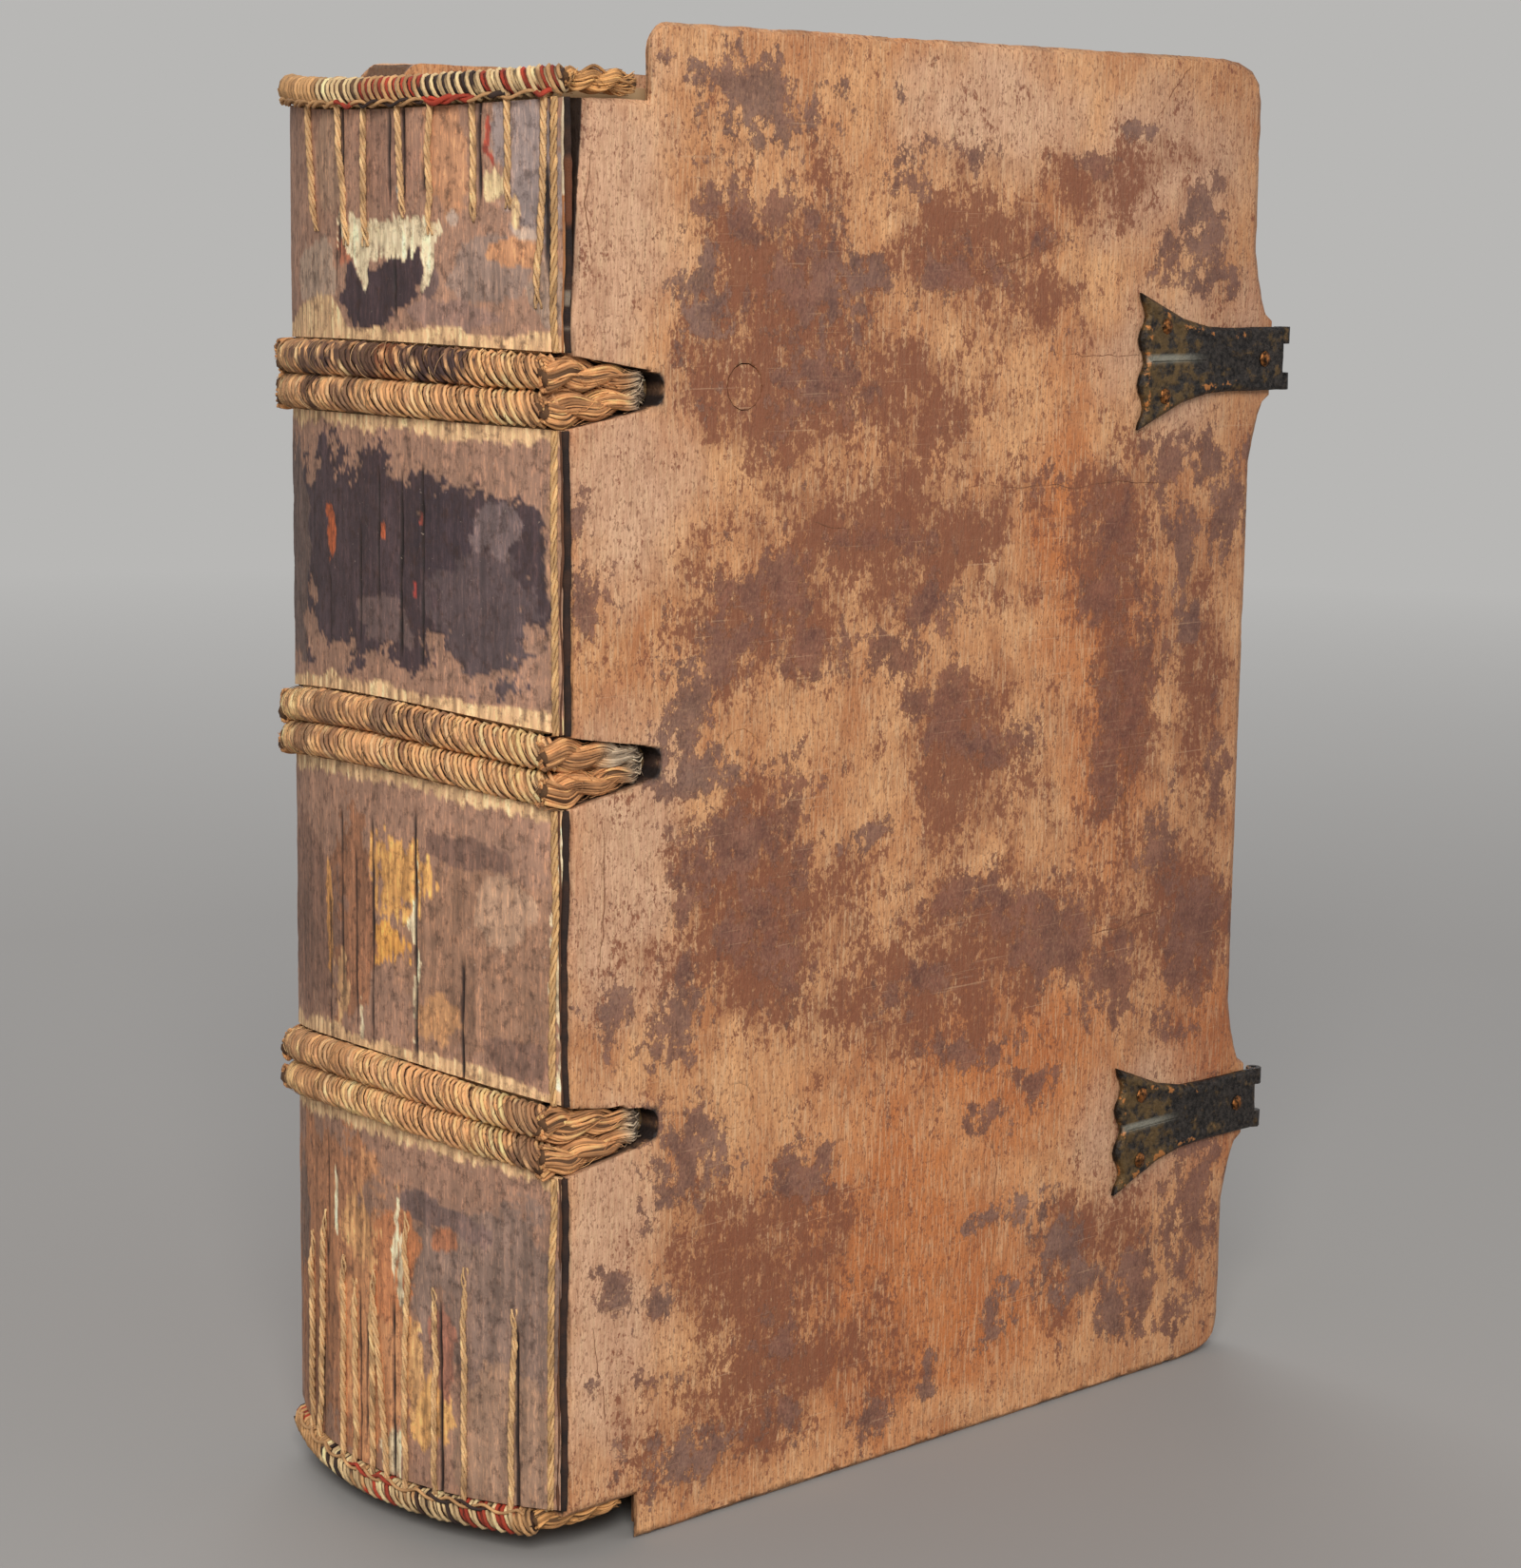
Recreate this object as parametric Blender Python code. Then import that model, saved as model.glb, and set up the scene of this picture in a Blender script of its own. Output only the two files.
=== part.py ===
"""A small antique book that stands on its tail, its cover lost and its binding bare.

Two wooden boards are laced on three double cords. The cords cross a rounded spine under packed
thread, between four spine linings, and a wound endband sits at the head and at the tail. Two metal
catches are riveted to the fore edge of the front board. Metres, +Z up: the spine faces -X, the fore
edge +X and the front board -Y.
"""

import math

import bmesh
import bpy
from mathutils import Vector

# Driving dimensions, in metres
board_height = 0.165
back_board_drop = 0.003
board_width = 0.1135
board_thick = 0.0045
book_thick = 0.0501
spine_round = 0.0073
head_square = 0.0067
tail_square = 0.0046
fore_square = 0.0035

# Clearances
gap = 0.0003
joint_gap = 0.0006
overrun = 0.001

# Spine linings and pastedowns
lining_thick = 0.0004
pastedown_thick = 0.0003
pastedown_margin = 0.004

# Sewing cords: each band is two cords side by side, wound with thread
cord_radius = 0.0018
cord_proud = 0.0019
cord_spacing = 0.0038
cord_turn_radius = 0.003
thread_pitch = 0.0016
thread_depth = 0.00025
band_height_shares = (0.7703, 0.5291, 0.2867)
band_rises = (0.0006, 0.0022, 0.0026)

# Endbands: a core wound with thread and tied down over the linings
endband_radius = 0.0015
endband_inset = 0.0002
endband_overhang = 0.0004
headband_sag = 0.0011
headband_reach_share = 0.97
tailband_sag = 0.0006
tailband_reach_share = 0.86
core_radius = 0.0014
core_start = 0.0014
core_drop = 0.0008
core_twist_pitch = 0.006
tie_radius = 0.00035
tie_seat = 0.0001
head_tie_length = 0.0230
head_tie_place_shares = (0.04, 0.12, 0.20, 0.31, 0.40, 0.51, 0.61, 0.77)
head_tie_length_shares = (1.00, 0.55, 0.60, 0.65, 0.57, 0.70, 0.70, 0.65)
tail_tie_length = 0.0330
tail_tie_place_shares = (0.06, 0.19, 0.28, 0.38, 0.44, 0.50, 0.58, 0.64, 0.79, 0.85)
tail_tie_length_shares = (0.73, 0.85, 0.76, 1.00, 0.70, 0.76, 0.70, 0.76, 0.88, 0.76)

# Lacing of the cords into the boards
lacing_hole_place = 0.0109
lacing_hole_radius = 0.0019
slip_half_height = 0.00175
slip_half_depth = 0.0012
slip_end_radius = 0.00075
slip_end_spacing = 0.0019
slip_cover = 0.0002
knee_share = 0.6
peg_place = 0.0242
peg_radius = 0.0024
peg_clearance = 0.0002
inner_channel_depth = 0.0016
inner_channel_width = 0.0034

# Board edges
head_notch_width = 0.0100
back_notch_width = 0.0088
tail_notch_width = 0.0095
notch_slant = 0.0036
edge_round = 0.0006
edge_flat = 0.0008
fore_bevel = 0.0048
head_corner_width = 0.0115
head_corner_height = 0.0070
tail_corner_width = 0.0115
tail_corner_height = 0.0048
notch_corner_radius = 0.0026
spine_edge_lean = 0.0017
spine_edge_lean_height = 0.0270
lean_bend_share = 0.76
lean_bend_height_share = 0.69
land_half_height = 0.0046
land_run_out = 0.0085
run_out_shares = (0.0, 0.1, 0.3, 0.6, 1.0)

# Catches on the front board's fore edge
catch_height_shares = (0.7800, 0.2012)
catch_length = 0.0270
catch_half_flare = 0.0082
catch_thick = 0.0008
catch_bevel = 0.0004
catch_scallop = 0.0011
catch_scallops = 3
catch_lip = 0.0024
catch_width_shares = ((0.0, 1.0), (0.13, 0.83), (0.29, 0.62), (0.46, 0.50), (0.60, 0.475), (0.80, 0.475))
knuckle_radius = 0.0010
knuckle_bore = 0.0004
knuckle_length = 0.0021
groove_width = 0.0009
groove_depth = 0.0003
groove_length = 0.0120
groove_end_share = 0.3
sharpest_share = 0.5
rivet_radius = 0.0005
rivet_head_radius = 0.0010
rivet_head_height = 0.0003
rivet_clearance = 0.0002
rivet_seat = 0.0001
head_side_share = 0.8
head_top_share = 0.4
wing_rivet_place = 0.0043
wing_rivet_height = 0.0042
neck_rivet_place = 0.0230

# Facets of the round shapes
arc_steps = 20
cord_sides = 7
slip_sides = 8
corner_steps = 5
core_steps = 8
tie_sides = 5
peg_sides = 14
rivet_sides = 8
scallop_steps = 18
sharp_angle = math.radians(60)

# The spine is an arc whose chord is the book's thickness
half_thick = book_thick / 2
spine_radius = (half_thick**2 + spine_round**2) / (2 * spine_round)
spine_centre = spine_radius - spine_round
spine_half_angle = math.asin(half_thick / spine_radius)
cord_offset = cord_proud - cord_radius

# The text block between the boards
text_side = half_thick - board_thick - pastedown_thick - 3 * gap
text_top = board_height - head_square
text_fore = board_width - fore_square

# Heights on the spine and on the boards, and each endband's height, sag, reach and tie-downs
back_board_height = board_height - back_board_drop
band_heights = [board_height * share for share in band_height_shares]
catch_heights = [board_height * share for share in catch_height_shares]
headband_height = text_top + endband_overhang
tailband_height = tail_square - endband_overhang
endbands = {
    "headband": (headband_height, headband_sag, headband_reach_share),
    "tailband": (tailband_height, tailband_sag, tailband_reach_share),
}
head_ties = [
    (place, -head_tie_length * share)
    for place, share in zip(head_tie_place_shares, head_tie_length_shares)
]
tail_ties = [
    (place, tail_tie_length * share)
    for place, share in zip(tail_tie_place_shares, tail_tie_length_shares)
]

# Catches: where the plate starts and how far its face stands off the board
catch_start = board_width + gap + knuckle_radius - knuckle_bore - catch_length
catch_face = -gap - catch_thick

# The joint line's place, so that the origin is at the middle of the part's foot
reach = board_width + gap + 2 * knuckle_radius
joint_place = (spine_round + cord_proud - reach) / 2


# Materials


def make_material(name, colour, roughness, metallic=0.0):
    material = bpy.data.materials.new(name)
    material.use_nodes = True
    shader = material.node_tree.nodes["Principled BSDF"]
    shader.inputs["Base Color"].default_value = (*colour, 1.0)
    shader.inputs["Roughness"].default_value = roughness
    shader.inputs["Metallic"].default_value = metallic
    material.diffuse_color = (*colour, 1.0)
    return material


# Meshes


def add_ring(bm, points):
    return [bm.verts.new(point) for point in points]


def bridge(bm, first, second):
    """Quads between two rings with as many points."""
    count = len(first)
    for i in range(count):
        j = (i + 1) % count
        bm.faces.new((first[i], first[j], second[j], second[i]))


def loft(bm, rings):
    """A closed body through rings of points, its two ends filled."""
    made = [add_ring(bm, ring) for ring in rings]
    for first, second in zip(made, made[1:]):
        bridge(bm, first, second)
    bm.faces.new(made[0])
    bm.faces.new(made[-1])


def place_lofts(name, bodies, material, parent, smooth=False):
    """One object from one or more lofted bodies, each given as its rings, turned outward."""
    bm = bmesh.new()
    for rings in bodies:
        loft(bm, rings)
    bmesh.ops.recalc_face_normals(bm, faces=bm.faces)
    mesh = bpy.data.meshes.new(name)
    bm.to_mesh(mesh)
    bm.free()
    obj = bpy.data.objects.new(name, mesh)
    bpy.context.scene.collection.objects.link(obj)
    obj.parent = parent
    if material:
        mesh.materials.append(material)
    if smooth:
        mesh.shade_smooth()
        mesh.set_sharp_from_angle(angle=sharp_angle)
    return obj


def boolean(obj, name, bodies, operation):
    """Cuts lofted bodies from an object, or joins them to it, by a hidden helper."""
    helper = place_lofts(name, bodies, None, obj.parent)
    helper.hide_render = True
    helper.display_type = "WIRE"
    modifier = obj.modifiers.new(name, "BOOLEAN")
    modifier.operation = operation
    modifier.solver = "EXACT"
    modifier.object = helper


def make_empty(name, x, y):
    empty = bpy.data.objects.new(name, None)
    empty.location = (x, y, 0)
    bpy.context.scene.collection.objects.link(empty)
    return empty


def circle(count, start=0.0):
    """Unit directions around a circle."""
    angles = [start + 2 * math.pi * i / count for i in range(count)]
    return [(math.cos(angle), math.sin(angle)) for angle in angles]


def on_board(x, depth, height, side):
    """A point on a board, seen from its hinge: depth runs from the outer face inward."""
    return Vector((x, -side * depth, height))


def pin_rings(x, z, sizes, count, side):
    """Rings of a round pin or hole through a board, from pairs of a depth and a radius."""
    return [
        [on_board(x + radius * c, depth, z + radius * s, side) for c, s in circle(count)]
        for depth, radius in sizes
    ]


def box_rings(x_range, depth_range, z_range, side):
    """The two end rings of a box on a board."""
    (near, far), (low, high) = depth_range, z_range
    corners = ((near, low), (far, low), (far, high), (near, high))
    return [[on_board(x, depth, z, side) for depth, z in corners] for x in x_range]


# Spine


def spine_point(angle, out, height):
    """A point on the spine's arc, pushed out from it, seen from the joint line."""
    radius = spine_radius + out
    return Vector((spine_centre - radius * math.cos(angle), radius * math.sin(angle), height))


def outward_at(angle):
    return Vector((-math.cos(angle), math.sin(angle), 0))


def shoulder_angle(out):
    """Where the arc at this offset reaches the joint gap."""
    return math.acos((spine_centre + joint_gap) / (spine_radius + out))


def bow(share, rise):
    """How far a band rises at this share of its way across the spine."""
    return rise * math.sin(math.pi * share)


def cord_route(count):
    """Place, outward direction and half depth along a cord, which turns into the joint at both ends."""
    radius = spine_radius + cord_offset
    pivot_y = half_thick - slip_cover - slip_half_depth - cord_turn_radius
    turn = math.asin(pivot_y / (radius - cord_turn_radius))
    pivot_x = spine_centre - (radius - cord_turn_radius) * math.cos(turn)
    end = math.acos((pivot_x + gap) / cord_turn_radius)
    arc_length = radius * turn
    turn_length = cord_turn_radius * (end - turn)
    route = []
    for i in range(count):
        along = (2 * i / (count - 1) - 1) * (arc_length + turn_length)
        past = max(0.0, abs(along) - arc_length)
        half_depth = cord_radius + (slip_half_depth - cord_radius) * past / turn_length
        if past:
            side = math.copysign(1, along)
            angle = side * (turn + past / cord_turn_radius)
            place = Vector((pivot_x, side * pivot_y, 0)) + outward_at(angle) * cord_turn_radius
        else:
            angle = along / radius
            place = spine_point(angle, cord_offset, 0)
        route.append((place, outward_at(angle), half_depth))
    return route


def endband_route(count, reach_share):
    """Place, outward direction and half depth along an endband."""
    route = []
    for i in range(count):
        angle = (2 * i / (count - 1) - 1) * spine_half_angle * reach_share
        route.append((spine_point(angle, -endband_inset, 0), outward_at(angle), endband_radius))
    return route


def route_length(route):
    return sum((after[0] - before[0]).length for before, after in zip(route, route[1:]))


def ring_count(route):
    """Two rings for each turn of the thread, and one more to end on a turn."""
    return 2 * round(route_length(route) / thread_pitch) + 1


def wound_rings(route, height, rise, half_height):
    """Rings of a cord whose winding stands up in ridges."""
    rings = []
    last = len(route) - 1
    for i, (place, outward, half_depth) in enumerate(route):
        dip = thread_depth * (i % 2)
        middle = place + Vector((0, 0, height + bow(i / last, rise)))
        up = Vector((0, 0, half_height - dip))
        rings.append([middle + outward * (half_depth - dip) * c + up * s for c, s in circle(cord_sides)])
    return rings


def seat_rings(route, height, rise, half_height):
    """Rings of the clear space around a cord or an endband, a slot with round ends."""
    rings = []
    last = len(route) - 1
    half_depth = max(size for _, _, size in route) + gap
    for i, (place, outward, _) in enumerate(route):
        middle = place + Vector((0, 0, height + bow(i / last, rise)))
        ring = []
        for c, s in circle(2 * cord_sides, math.pi / 2 / cord_sides):
            up = s * half_depth + math.copysign(half_height - half_depth, s)
            ring.append(middle + outward * half_depth * c + Vector((0, 0, up)))
        rings.append(ring)
    return rings


def make_wound_cords(materials, parent):
    route = cord_route(ring_count(cord_route(arc_steps)))
    for band, (height, rise) in enumerate(zip(band_heights, band_rises), start=1):
        for word, lie in (("upper", 1), ("lower", -1)):
            rings = wound_rings(route, height + lie * cord_spacing / 2, rise, cord_radius)
            name = f"wound_cord_{band}_{word}"
            place_lofts(name, [rings], materials["thread"], parent, smooth=True)


def tie_rings(angle, ends):
    """A tie-down: a thin thread straight along the spine."""
    middle = spine_point(angle, tie_radius + tie_seat, 0)
    outward = outward_at(angle)
    along = outward.cross(Vector((0, 0, 1)))
    return [
        [middle + (outward * c + along * s) * tie_radius + Vector((0, 0, z)) for c, s in circle(tie_sides)]
        for z in ends
    ]


def make_endband(name, tie_downs, materials, parent):
    """A wound endband with its tie-downs, which run from it toward the middle of the spine."""
    height, sag, reach_share = endbands[name]
    route = endband_route(ring_count(endband_route(arc_steps, reach_share)), reach_share)
    rings = wound_rings(route, height, -sag, endband_radius)
    band = place_lofts(name, [rings], materials["endband"], parent, smooth=True)
    ties = []
    for place_share, length in tie_downs:
        angle = (2 * place_share - 1) * spine_half_angle * reach_share
        start = height + bow(place_share, -sag)
        ties.append(tie_rings(angle, (start, start + length)))
    boolean(band, f"{name}_ties", ties, "UNION")


def band_edge(band, lie, share):
    """The edge of a lining beside a band, which follows the band's rise."""
    reach = cord_spacing / 2 + cord_radius + gap
    return band_heights[band] + bow(share, band_rises[band]) + lie * reach


def endband_edge(height, sag, lie, share):
    """The edge of a lining beside an endband, which follows the endband's sag."""
    return height + bow(share, -sag) + lie * (endband_radius + gap)


def lining_edges(share):
    """The lower and upper edge of each lining at this share across the spine, from the head down."""
    last = len(band_heights) - 1
    tops = [endband_edge(headband_height, headband_sag, -1, share)]
    tops += [band_edge(band, -1, share) for band in range(last + 1)]
    bottoms = [band_edge(band, 1, share) for band in range(last + 1)]
    bottoms.append(endband_edge(tailband_height, tailband_sag, 1, share))
    return list(zip(bottoms, tops))


def make_linings(materials, parent):
    reach_angle = shoulder_angle(0)
    for panel in range(len(band_heights) + 1):
        rings = []
        for i in range(arc_steps + 1):
            share = i / arc_steps
            angle = (2 * share - 1) * reach_angle
            low, high = lining_edges(share)[panel]
            rings.append(
                [
                    spine_point(angle, -lining_thick, low),
                    spine_point(angle, 0, low),
                    spine_point(angle, 0, high),
                    spine_point(angle, -lining_thick, high),
                ]
            )
        name = f"spine_lining_{panel + 1}"
        place_lofts(name, [rings], materials["lining"], parent, smooth=True)


def make_text_block(materials, parent):
    """The leaves as one body, with the shoulders, a hollow fore edge and seats for the bands."""
    offset = -lining_thick - gap
    reach_angle = shoulder_angle(offset)
    profile = []
    for i in range(arc_steps + 1):
        angle = (1 - 2 * i / arc_steps) * reach_angle
        profile.append(spine_point(angle, offset, 0))
    profile.append(Vector((-joint_gap, -text_side, 0)))
    for i in range(arc_steps + 1):
        share = 2 * i / arc_steps - 1
        hollow = spine_round * (1 - share**2)
        profile.append(Vector((text_fore - hollow, share * text_side, 0)))
    profile.append(Vector((-joint_gap, text_side, 0)))
    rings = [[point + Vector((0, 0, z)) for point in profile] for z in (tail_square, text_top)]
    block = place_lofts("text_block", [rings], materials["paper"], parent)
    half_height = cord_spacing / 2 + cord_radius + gap
    for band, (height, rise) in enumerate(zip(band_heights, band_rises), start=1):
        seat = seat_rings(cord_route(arc_steps + 1), height, rise, half_height)
        boolean(block, f"band_seat_{band}", [seat], "DIFFERENCE")
    for name, (height, sag, reach_share) in endbands.items():
        seat = seat_rings(endband_route(arc_steps + 1, reach_share), height, -sag, endband_radius + gap)
        boolean(block, f"{name}_seat", [seat], "DIFFERENCE")


# Boards


def notch_floors():
    """The heights of the ledges that hold the endband cores, at the head and at the tail."""
    head = headband_height - core_radius - gap
    tail = tailband_height + core_radius - core_drop + gap
    return head, tail


def bevel_at(height, lands):
    """The slope of the fore edge's bevel, which runs out at the lands that carry the catches."""
    shares = [max(0.0, abs(height - land) - land_half_height) / land_run_out for land in lands]
    return (fore_bevel - edge_round) * math.sqrt(min(1.0, *shares))


def corner(x, z, width, height):
    """Points round a corner at x and z, each as a place with its shares of the side and of the end.

    A positive width is on a side that faces +X, and a positive height on an end that faces +Z.
    """
    points = []
    for i in range(corner_steps + 1):
        angle = math.pi / 2 * i / corner_steps
        across, up = math.cos(angle), math.sin(angle)
        points.append((x + width * (across - 1), z + height * (up - 1), across, up))
    return points


def board_outline(height, head_notch, lands):
    """Points around a board as (x, z, slope, round in x, round in z).

    The slope is the shift in x over the sloping part of the edge, and the rounds are those to the outer face.
    """
    head_floor, tail_floor = notch_floors()
    lean_start = head_floor - spine_edge_lean_height
    lean_bend = lean_start + spine_edge_lean_height * lean_bend_height_share
    slope = fore_bevel - edge_round
    points = [
        (tail_notch_width + notch_slant, 0, -notch_slant, edge_round, edge_round),
        (tail_notch_width + notch_slant, tail_floor, -notch_slant, edge_round, edge_round),
        (0, tail_floor, 0, edge_round, edge_round),
        (0, lean_start, 0, edge_round, 0),
        (spine_edge_lean * lean_bend_share, lean_bend, 0, edge_round, 0),
        (spine_edge_lean, head_floor, 0, edge_round, -edge_round),
        (head_notch + notch_slant, head_floor, -notch_slant, edge_round, -edge_round),
    ]
    for x, z, across, up in corner(head_notch, height, -notch_corner_radius, notch_corner_radius):
        points.append((x + notch_slant, z, -notch_slant, edge_round * across, -edge_round * up))
    head_corner = corner(board_width, height, head_corner_width, head_corner_height)
    for x, z, across, up in reversed(head_corner):
        points.append((x, z, -slope * across**3, -edge_round * across, -edge_round * up))
    for land in lands:
        run_out = [land_half_height + land_run_out * share for share in run_out_shares]
        heights = [land + reach for reach in reversed(run_out)] + [land - reach for reach in run_out]
        points += [(board_width, z, -bevel_at(z, lands), -edge_round, 0) for z in heights]
    for x, z, across, up in corner(board_width, 0, tail_corner_width, -tail_corner_height):
        points.append((x, z, -slope * across**3, -edge_round * across, edge_round * up))
    return points


def slip_size(x):
    """Half height, half depth and spacing of the slips of a band at this place on the board."""
    share = min(1.0, max(0.0, x / lacing_hole_place))
    ends = (
        (slip_half_height, slip_end_radius),
        (slip_half_depth, slip_end_radius),
        (cord_spacing, slip_end_spacing),
    )
    return [start + (end - start) * share for start, end in ends]


def slip_rings(band_height, lie, side):
    """Rings of one slip along its channel and into its hole, lie 1 for the upper and -1 for the lower."""
    start_depth = slip_cover + slip_half_depth
    end_depth = board_thick - inner_channel_depth - slip_end_radius
    knee = lacing_hole_place - lacing_hole_radius * knee_share
    route = (
        Vector((gap, start_depth)),
        Vector((lacing_hole_place / 3, start_depth)),
        Vector((lacing_hole_place * 2 / 3, start_depth)),
        Vector((knee, start_depth + (end_depth - start_depth) / 3)),
        Vector((lacing_hole_place, end_depth)),
    )
    rings = []
    for i, place in enumerate(route):
        after = route[min(i + 1, len(route) - 1)]
        before = route[max(i - 1, 0)]
        along = (after - before).normalized()
        half_height, half_depth, spacing = slip_size(place.x)
        middle = band_height + lie * spacing / 2
        ring = []
        for c, s in circle(slip_sides, math.pi * i / slip_sides):
            across = Vector((-along.y, along.x)) * c * half_depth
            ring.append(on_board(place.x + across.x, place.y + across.y, middle + s * half_height, side))
        rings.append(ring)
    return rings


def channel_rings(band_height, side):
    """The channel that both slips of a band lie in, from the spine edge to the lacing hole."""
    rings = []
    for x in (-overrun, lacing_hole_place):
        half_height, half_depth, spacing = slip_size(x)
        reach = spacing / 2 + half_height + gap
        floor = slip_cover + 2 * slip_half_depth + gap
        shape = (
            (-overrun, -reach),
            (floor - half_depth, -reach),
            (floor, -reach + half_depth),
            (floor, reach - half_depth),
            (floor - half_depth, reach),
            (-overrun, reach),
        )
        rings.append([on_board(x, depth, band_height + up, side) for depth, up in shape])
    return rings


def make_board(name, side, height, head_notch, lands, rivets, materials, parent):
    """A wooden board with its notches, bevels, lacing channels and holes."""
    outline = board_outline(height, head_notch, lands)
    levels = (
        (board_thick, 0, 0),
        (board_thick - edge_flat, 0, 0),
        (edge_round, 1 - edge_round / (board_thick - edge_flat), 0),
        (0, 1, 1),
    )
    rings = [
        [
            on_board(x + slope * sloped + round_x * rounded, depth, z + round_z * rounded, side)
            for x, z, slope, round_x, round_z in outline
        ]
        for depth, sloped, rounded in levels
    ]
    board = place_lofts(name, [rings], materials["wood"], parent)
    channels = [channel_rings(z, side) for z in band_heights]
    boolean(board, f"{name}_channels", channels, "DIFFERENCE")
    through = (-overrun, board_thick + overrun)
    holes = []
    for z in band_heights:
        for x, radius in ((lacing_hole_place, lacing_hole_radius), (peg_place, peg_radius + peg_clearance)):
            holes.append(pin_rings(x, z, [(depth, radius) for depth in through], peg_sides, side))
    for x, z in rivets:
        sizes = [(depth, rivet_radius + rivet_clearance) for depth in through]
        holes.append(pin_rings(x, z, sizes, rivet_sides, side))
    boolean(board, f"{name}_holes", holes, "DIFFERENCE")
    reach = inner_channel_width / 2
    x_range = (lacing_hole_place, peg_place)
    depths = (board_thick - inner_channel_depth, board_thick + overrun)
    channels = [box_rings(x_range, depths, (z - reach, z + reach), side) for z in band_heights]
    boolean(board, f"{name}_inner_channels", channels, "DIFFERENCE")


def make_slips(name, side, materials, parent):
    for band, height in enumerate(band_heights, start=1):
        for word, lie in (("upper", 1), ("lower", -1)):
            rings = slip_rings(height, lie, side)
            place_lofts(f"{name}_slip_{band}_{word}", [rings], materials["cord"], parent, smooth=True)


def make_lacing_pegs(name, side, materials, parent):
    """The wooden pegs that wedge the cords, flush with the outer face."""
    sizes = [(depth, peg_radius) for depth in (0, board_thick - gap)]
    for band, height in enumerate(band_heights, start=1):
        rings = pin_rings(peg_place, height, sizes, peg_sides, side)
        place_lofts(f"{name}_peg_{band}", [rings], materials["peg"], parent, smooth=True)


def make_laced_ends(name, side, materials, parent):
    """The flattened ends of the cords, from the lacing hole to the peg on the board's inner side."""
    x_range = (lacing_hole_place - gap, peg_place - peg_radius - peg_clearance - gap)
    depths = (board_thick - inner_channel_depth + gap, board_thick - gap)
    reach = inner_channel_width / 2 - gap
    for band, height in enumerate(band_heights, start=1):
        rings = box_rings(x_range, depths, (height - reach, height + reach), side)
        place_lofts(f"{name}_laced_end_{band}", [rings], materials["cord"], parent)


def make_core_ends(name, side, head_notch, materials, parent):
    """The twisted ends of the endband cores, which lie in the board's notches."""
    head_floor, tail_floor = notch_floors()
    for word, height, notch in (
        ("headband", head_floor + gap + core_radius, head_notch),
        ("tailband", tail_floor - gap - core_radius, tail_notch_width),
    ):
        rings = []
        for i in range(core_steps + 1):
            share = i / core_steps
            x = core_start + (notch - gap - core_start) * share
            ring = []
            for k, (c, s) in enumerate(circle(slip_sides, math.pi * notch / core_twist_pitch * share)):
                size = core_radius - thread_depth * (k % 2)
                ring.append(on_board(x, board_thick / 2 + size * c, height + size * s, side))
            rings.append(ring)
        place_lofts(f"{name}_{word}_core", [rings], materials["cord"], parent, smooth=True)


def make_pastedown(name, side, materials, parent):
    """The leaf that is pasted to the board's inner face."""
    depths = (board_thick + gap, board_thick + gap + pastedown_thick)
    head_floor, tail_floor = notch_floors()
    x_range = (pastedown_margin, board_width - pastedown_margin)
    rings = box_rings(x_range, depths, (tail_floor + gap, head_floor - gap), side)
    place_lofts(f"{name}_pastedown", [rings], materials["pastedown"], parent)


# Catches


def catch_half_width(along):
    """Half the height of a catch at this distance from its inner edge."""
    share = along / catch_length
    for (near, near_width), (far, far_width) in zip(catch_width_shares, catch_width_shares[1:]):
        if share <= far:
            part = (share - near) / (far - near)
            return catch_half_flare * (near_width + (far_width - near_width) * part)
    return catch_half_flare * catch_width_shares[-1][1]


def catch_outline(height):
    """Points around a catch: the scalloped inner edge, then the two waisted sides."""
    points = []
    for i in range(scallop_steps + 1):
        share = 2 * i / scallop_steps - 1
        scallop = catch_scallop * (1 + math.cos(catch_scallops * math.pi * share)) / 2
        points.append(Vector((catch_start + scallop, height - share * catch_half_flare)))
    places = [share * catch_length for share, _ in catch_width_shares[1:]] + [catch_length]
    lower = [Vector((catch_start + place, height - catch_half_width(place))) for place in places]
    upper = [Vector((catch_start + place, height + catch_half_width(place))) for place in places]
    return points + lower + upper[::-1]


def inset(points, amount):
    """The outline with each point moved inward, by this amount from the two sides that meet there."""
    moved = []
    for i, here in enumerate(points):
        first = (here - points[i - 1]).normalized()
        second = (points[(i + 1) % len(points)] - here).normalized()
        side = Vector((-first.y, first.x))
        middle = (side + Vector((-second.y, second.x))).normalized()
        moved.append(here + middle * amount / max(sharpest_share, middle.dot(side)))
    return moved


def catch_rivets(height):
    """The rivets of one catch: one in each wing and one in the neck."""
    wing = catch_start + wing_rivet_place
    return (
        (wing, height + wing_rivet_height),
        (wing, height - wing_rivet_height),
        (catch_start + neck_rivet_place, height),
    )


def roll_rings(radius, z_range, side):
    """The two end rings of a rod that lies along the board's fore edge, level with a catch's face."""
    x = board_width + gap + knuckle_radius
    depth = catch_face + knuckle_radius
    return [
        [on_board(x + radius * c, depth + radius * s, z, side) for c, s in circle(rivet_sides)]
        for z in z_range
    ]


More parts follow.
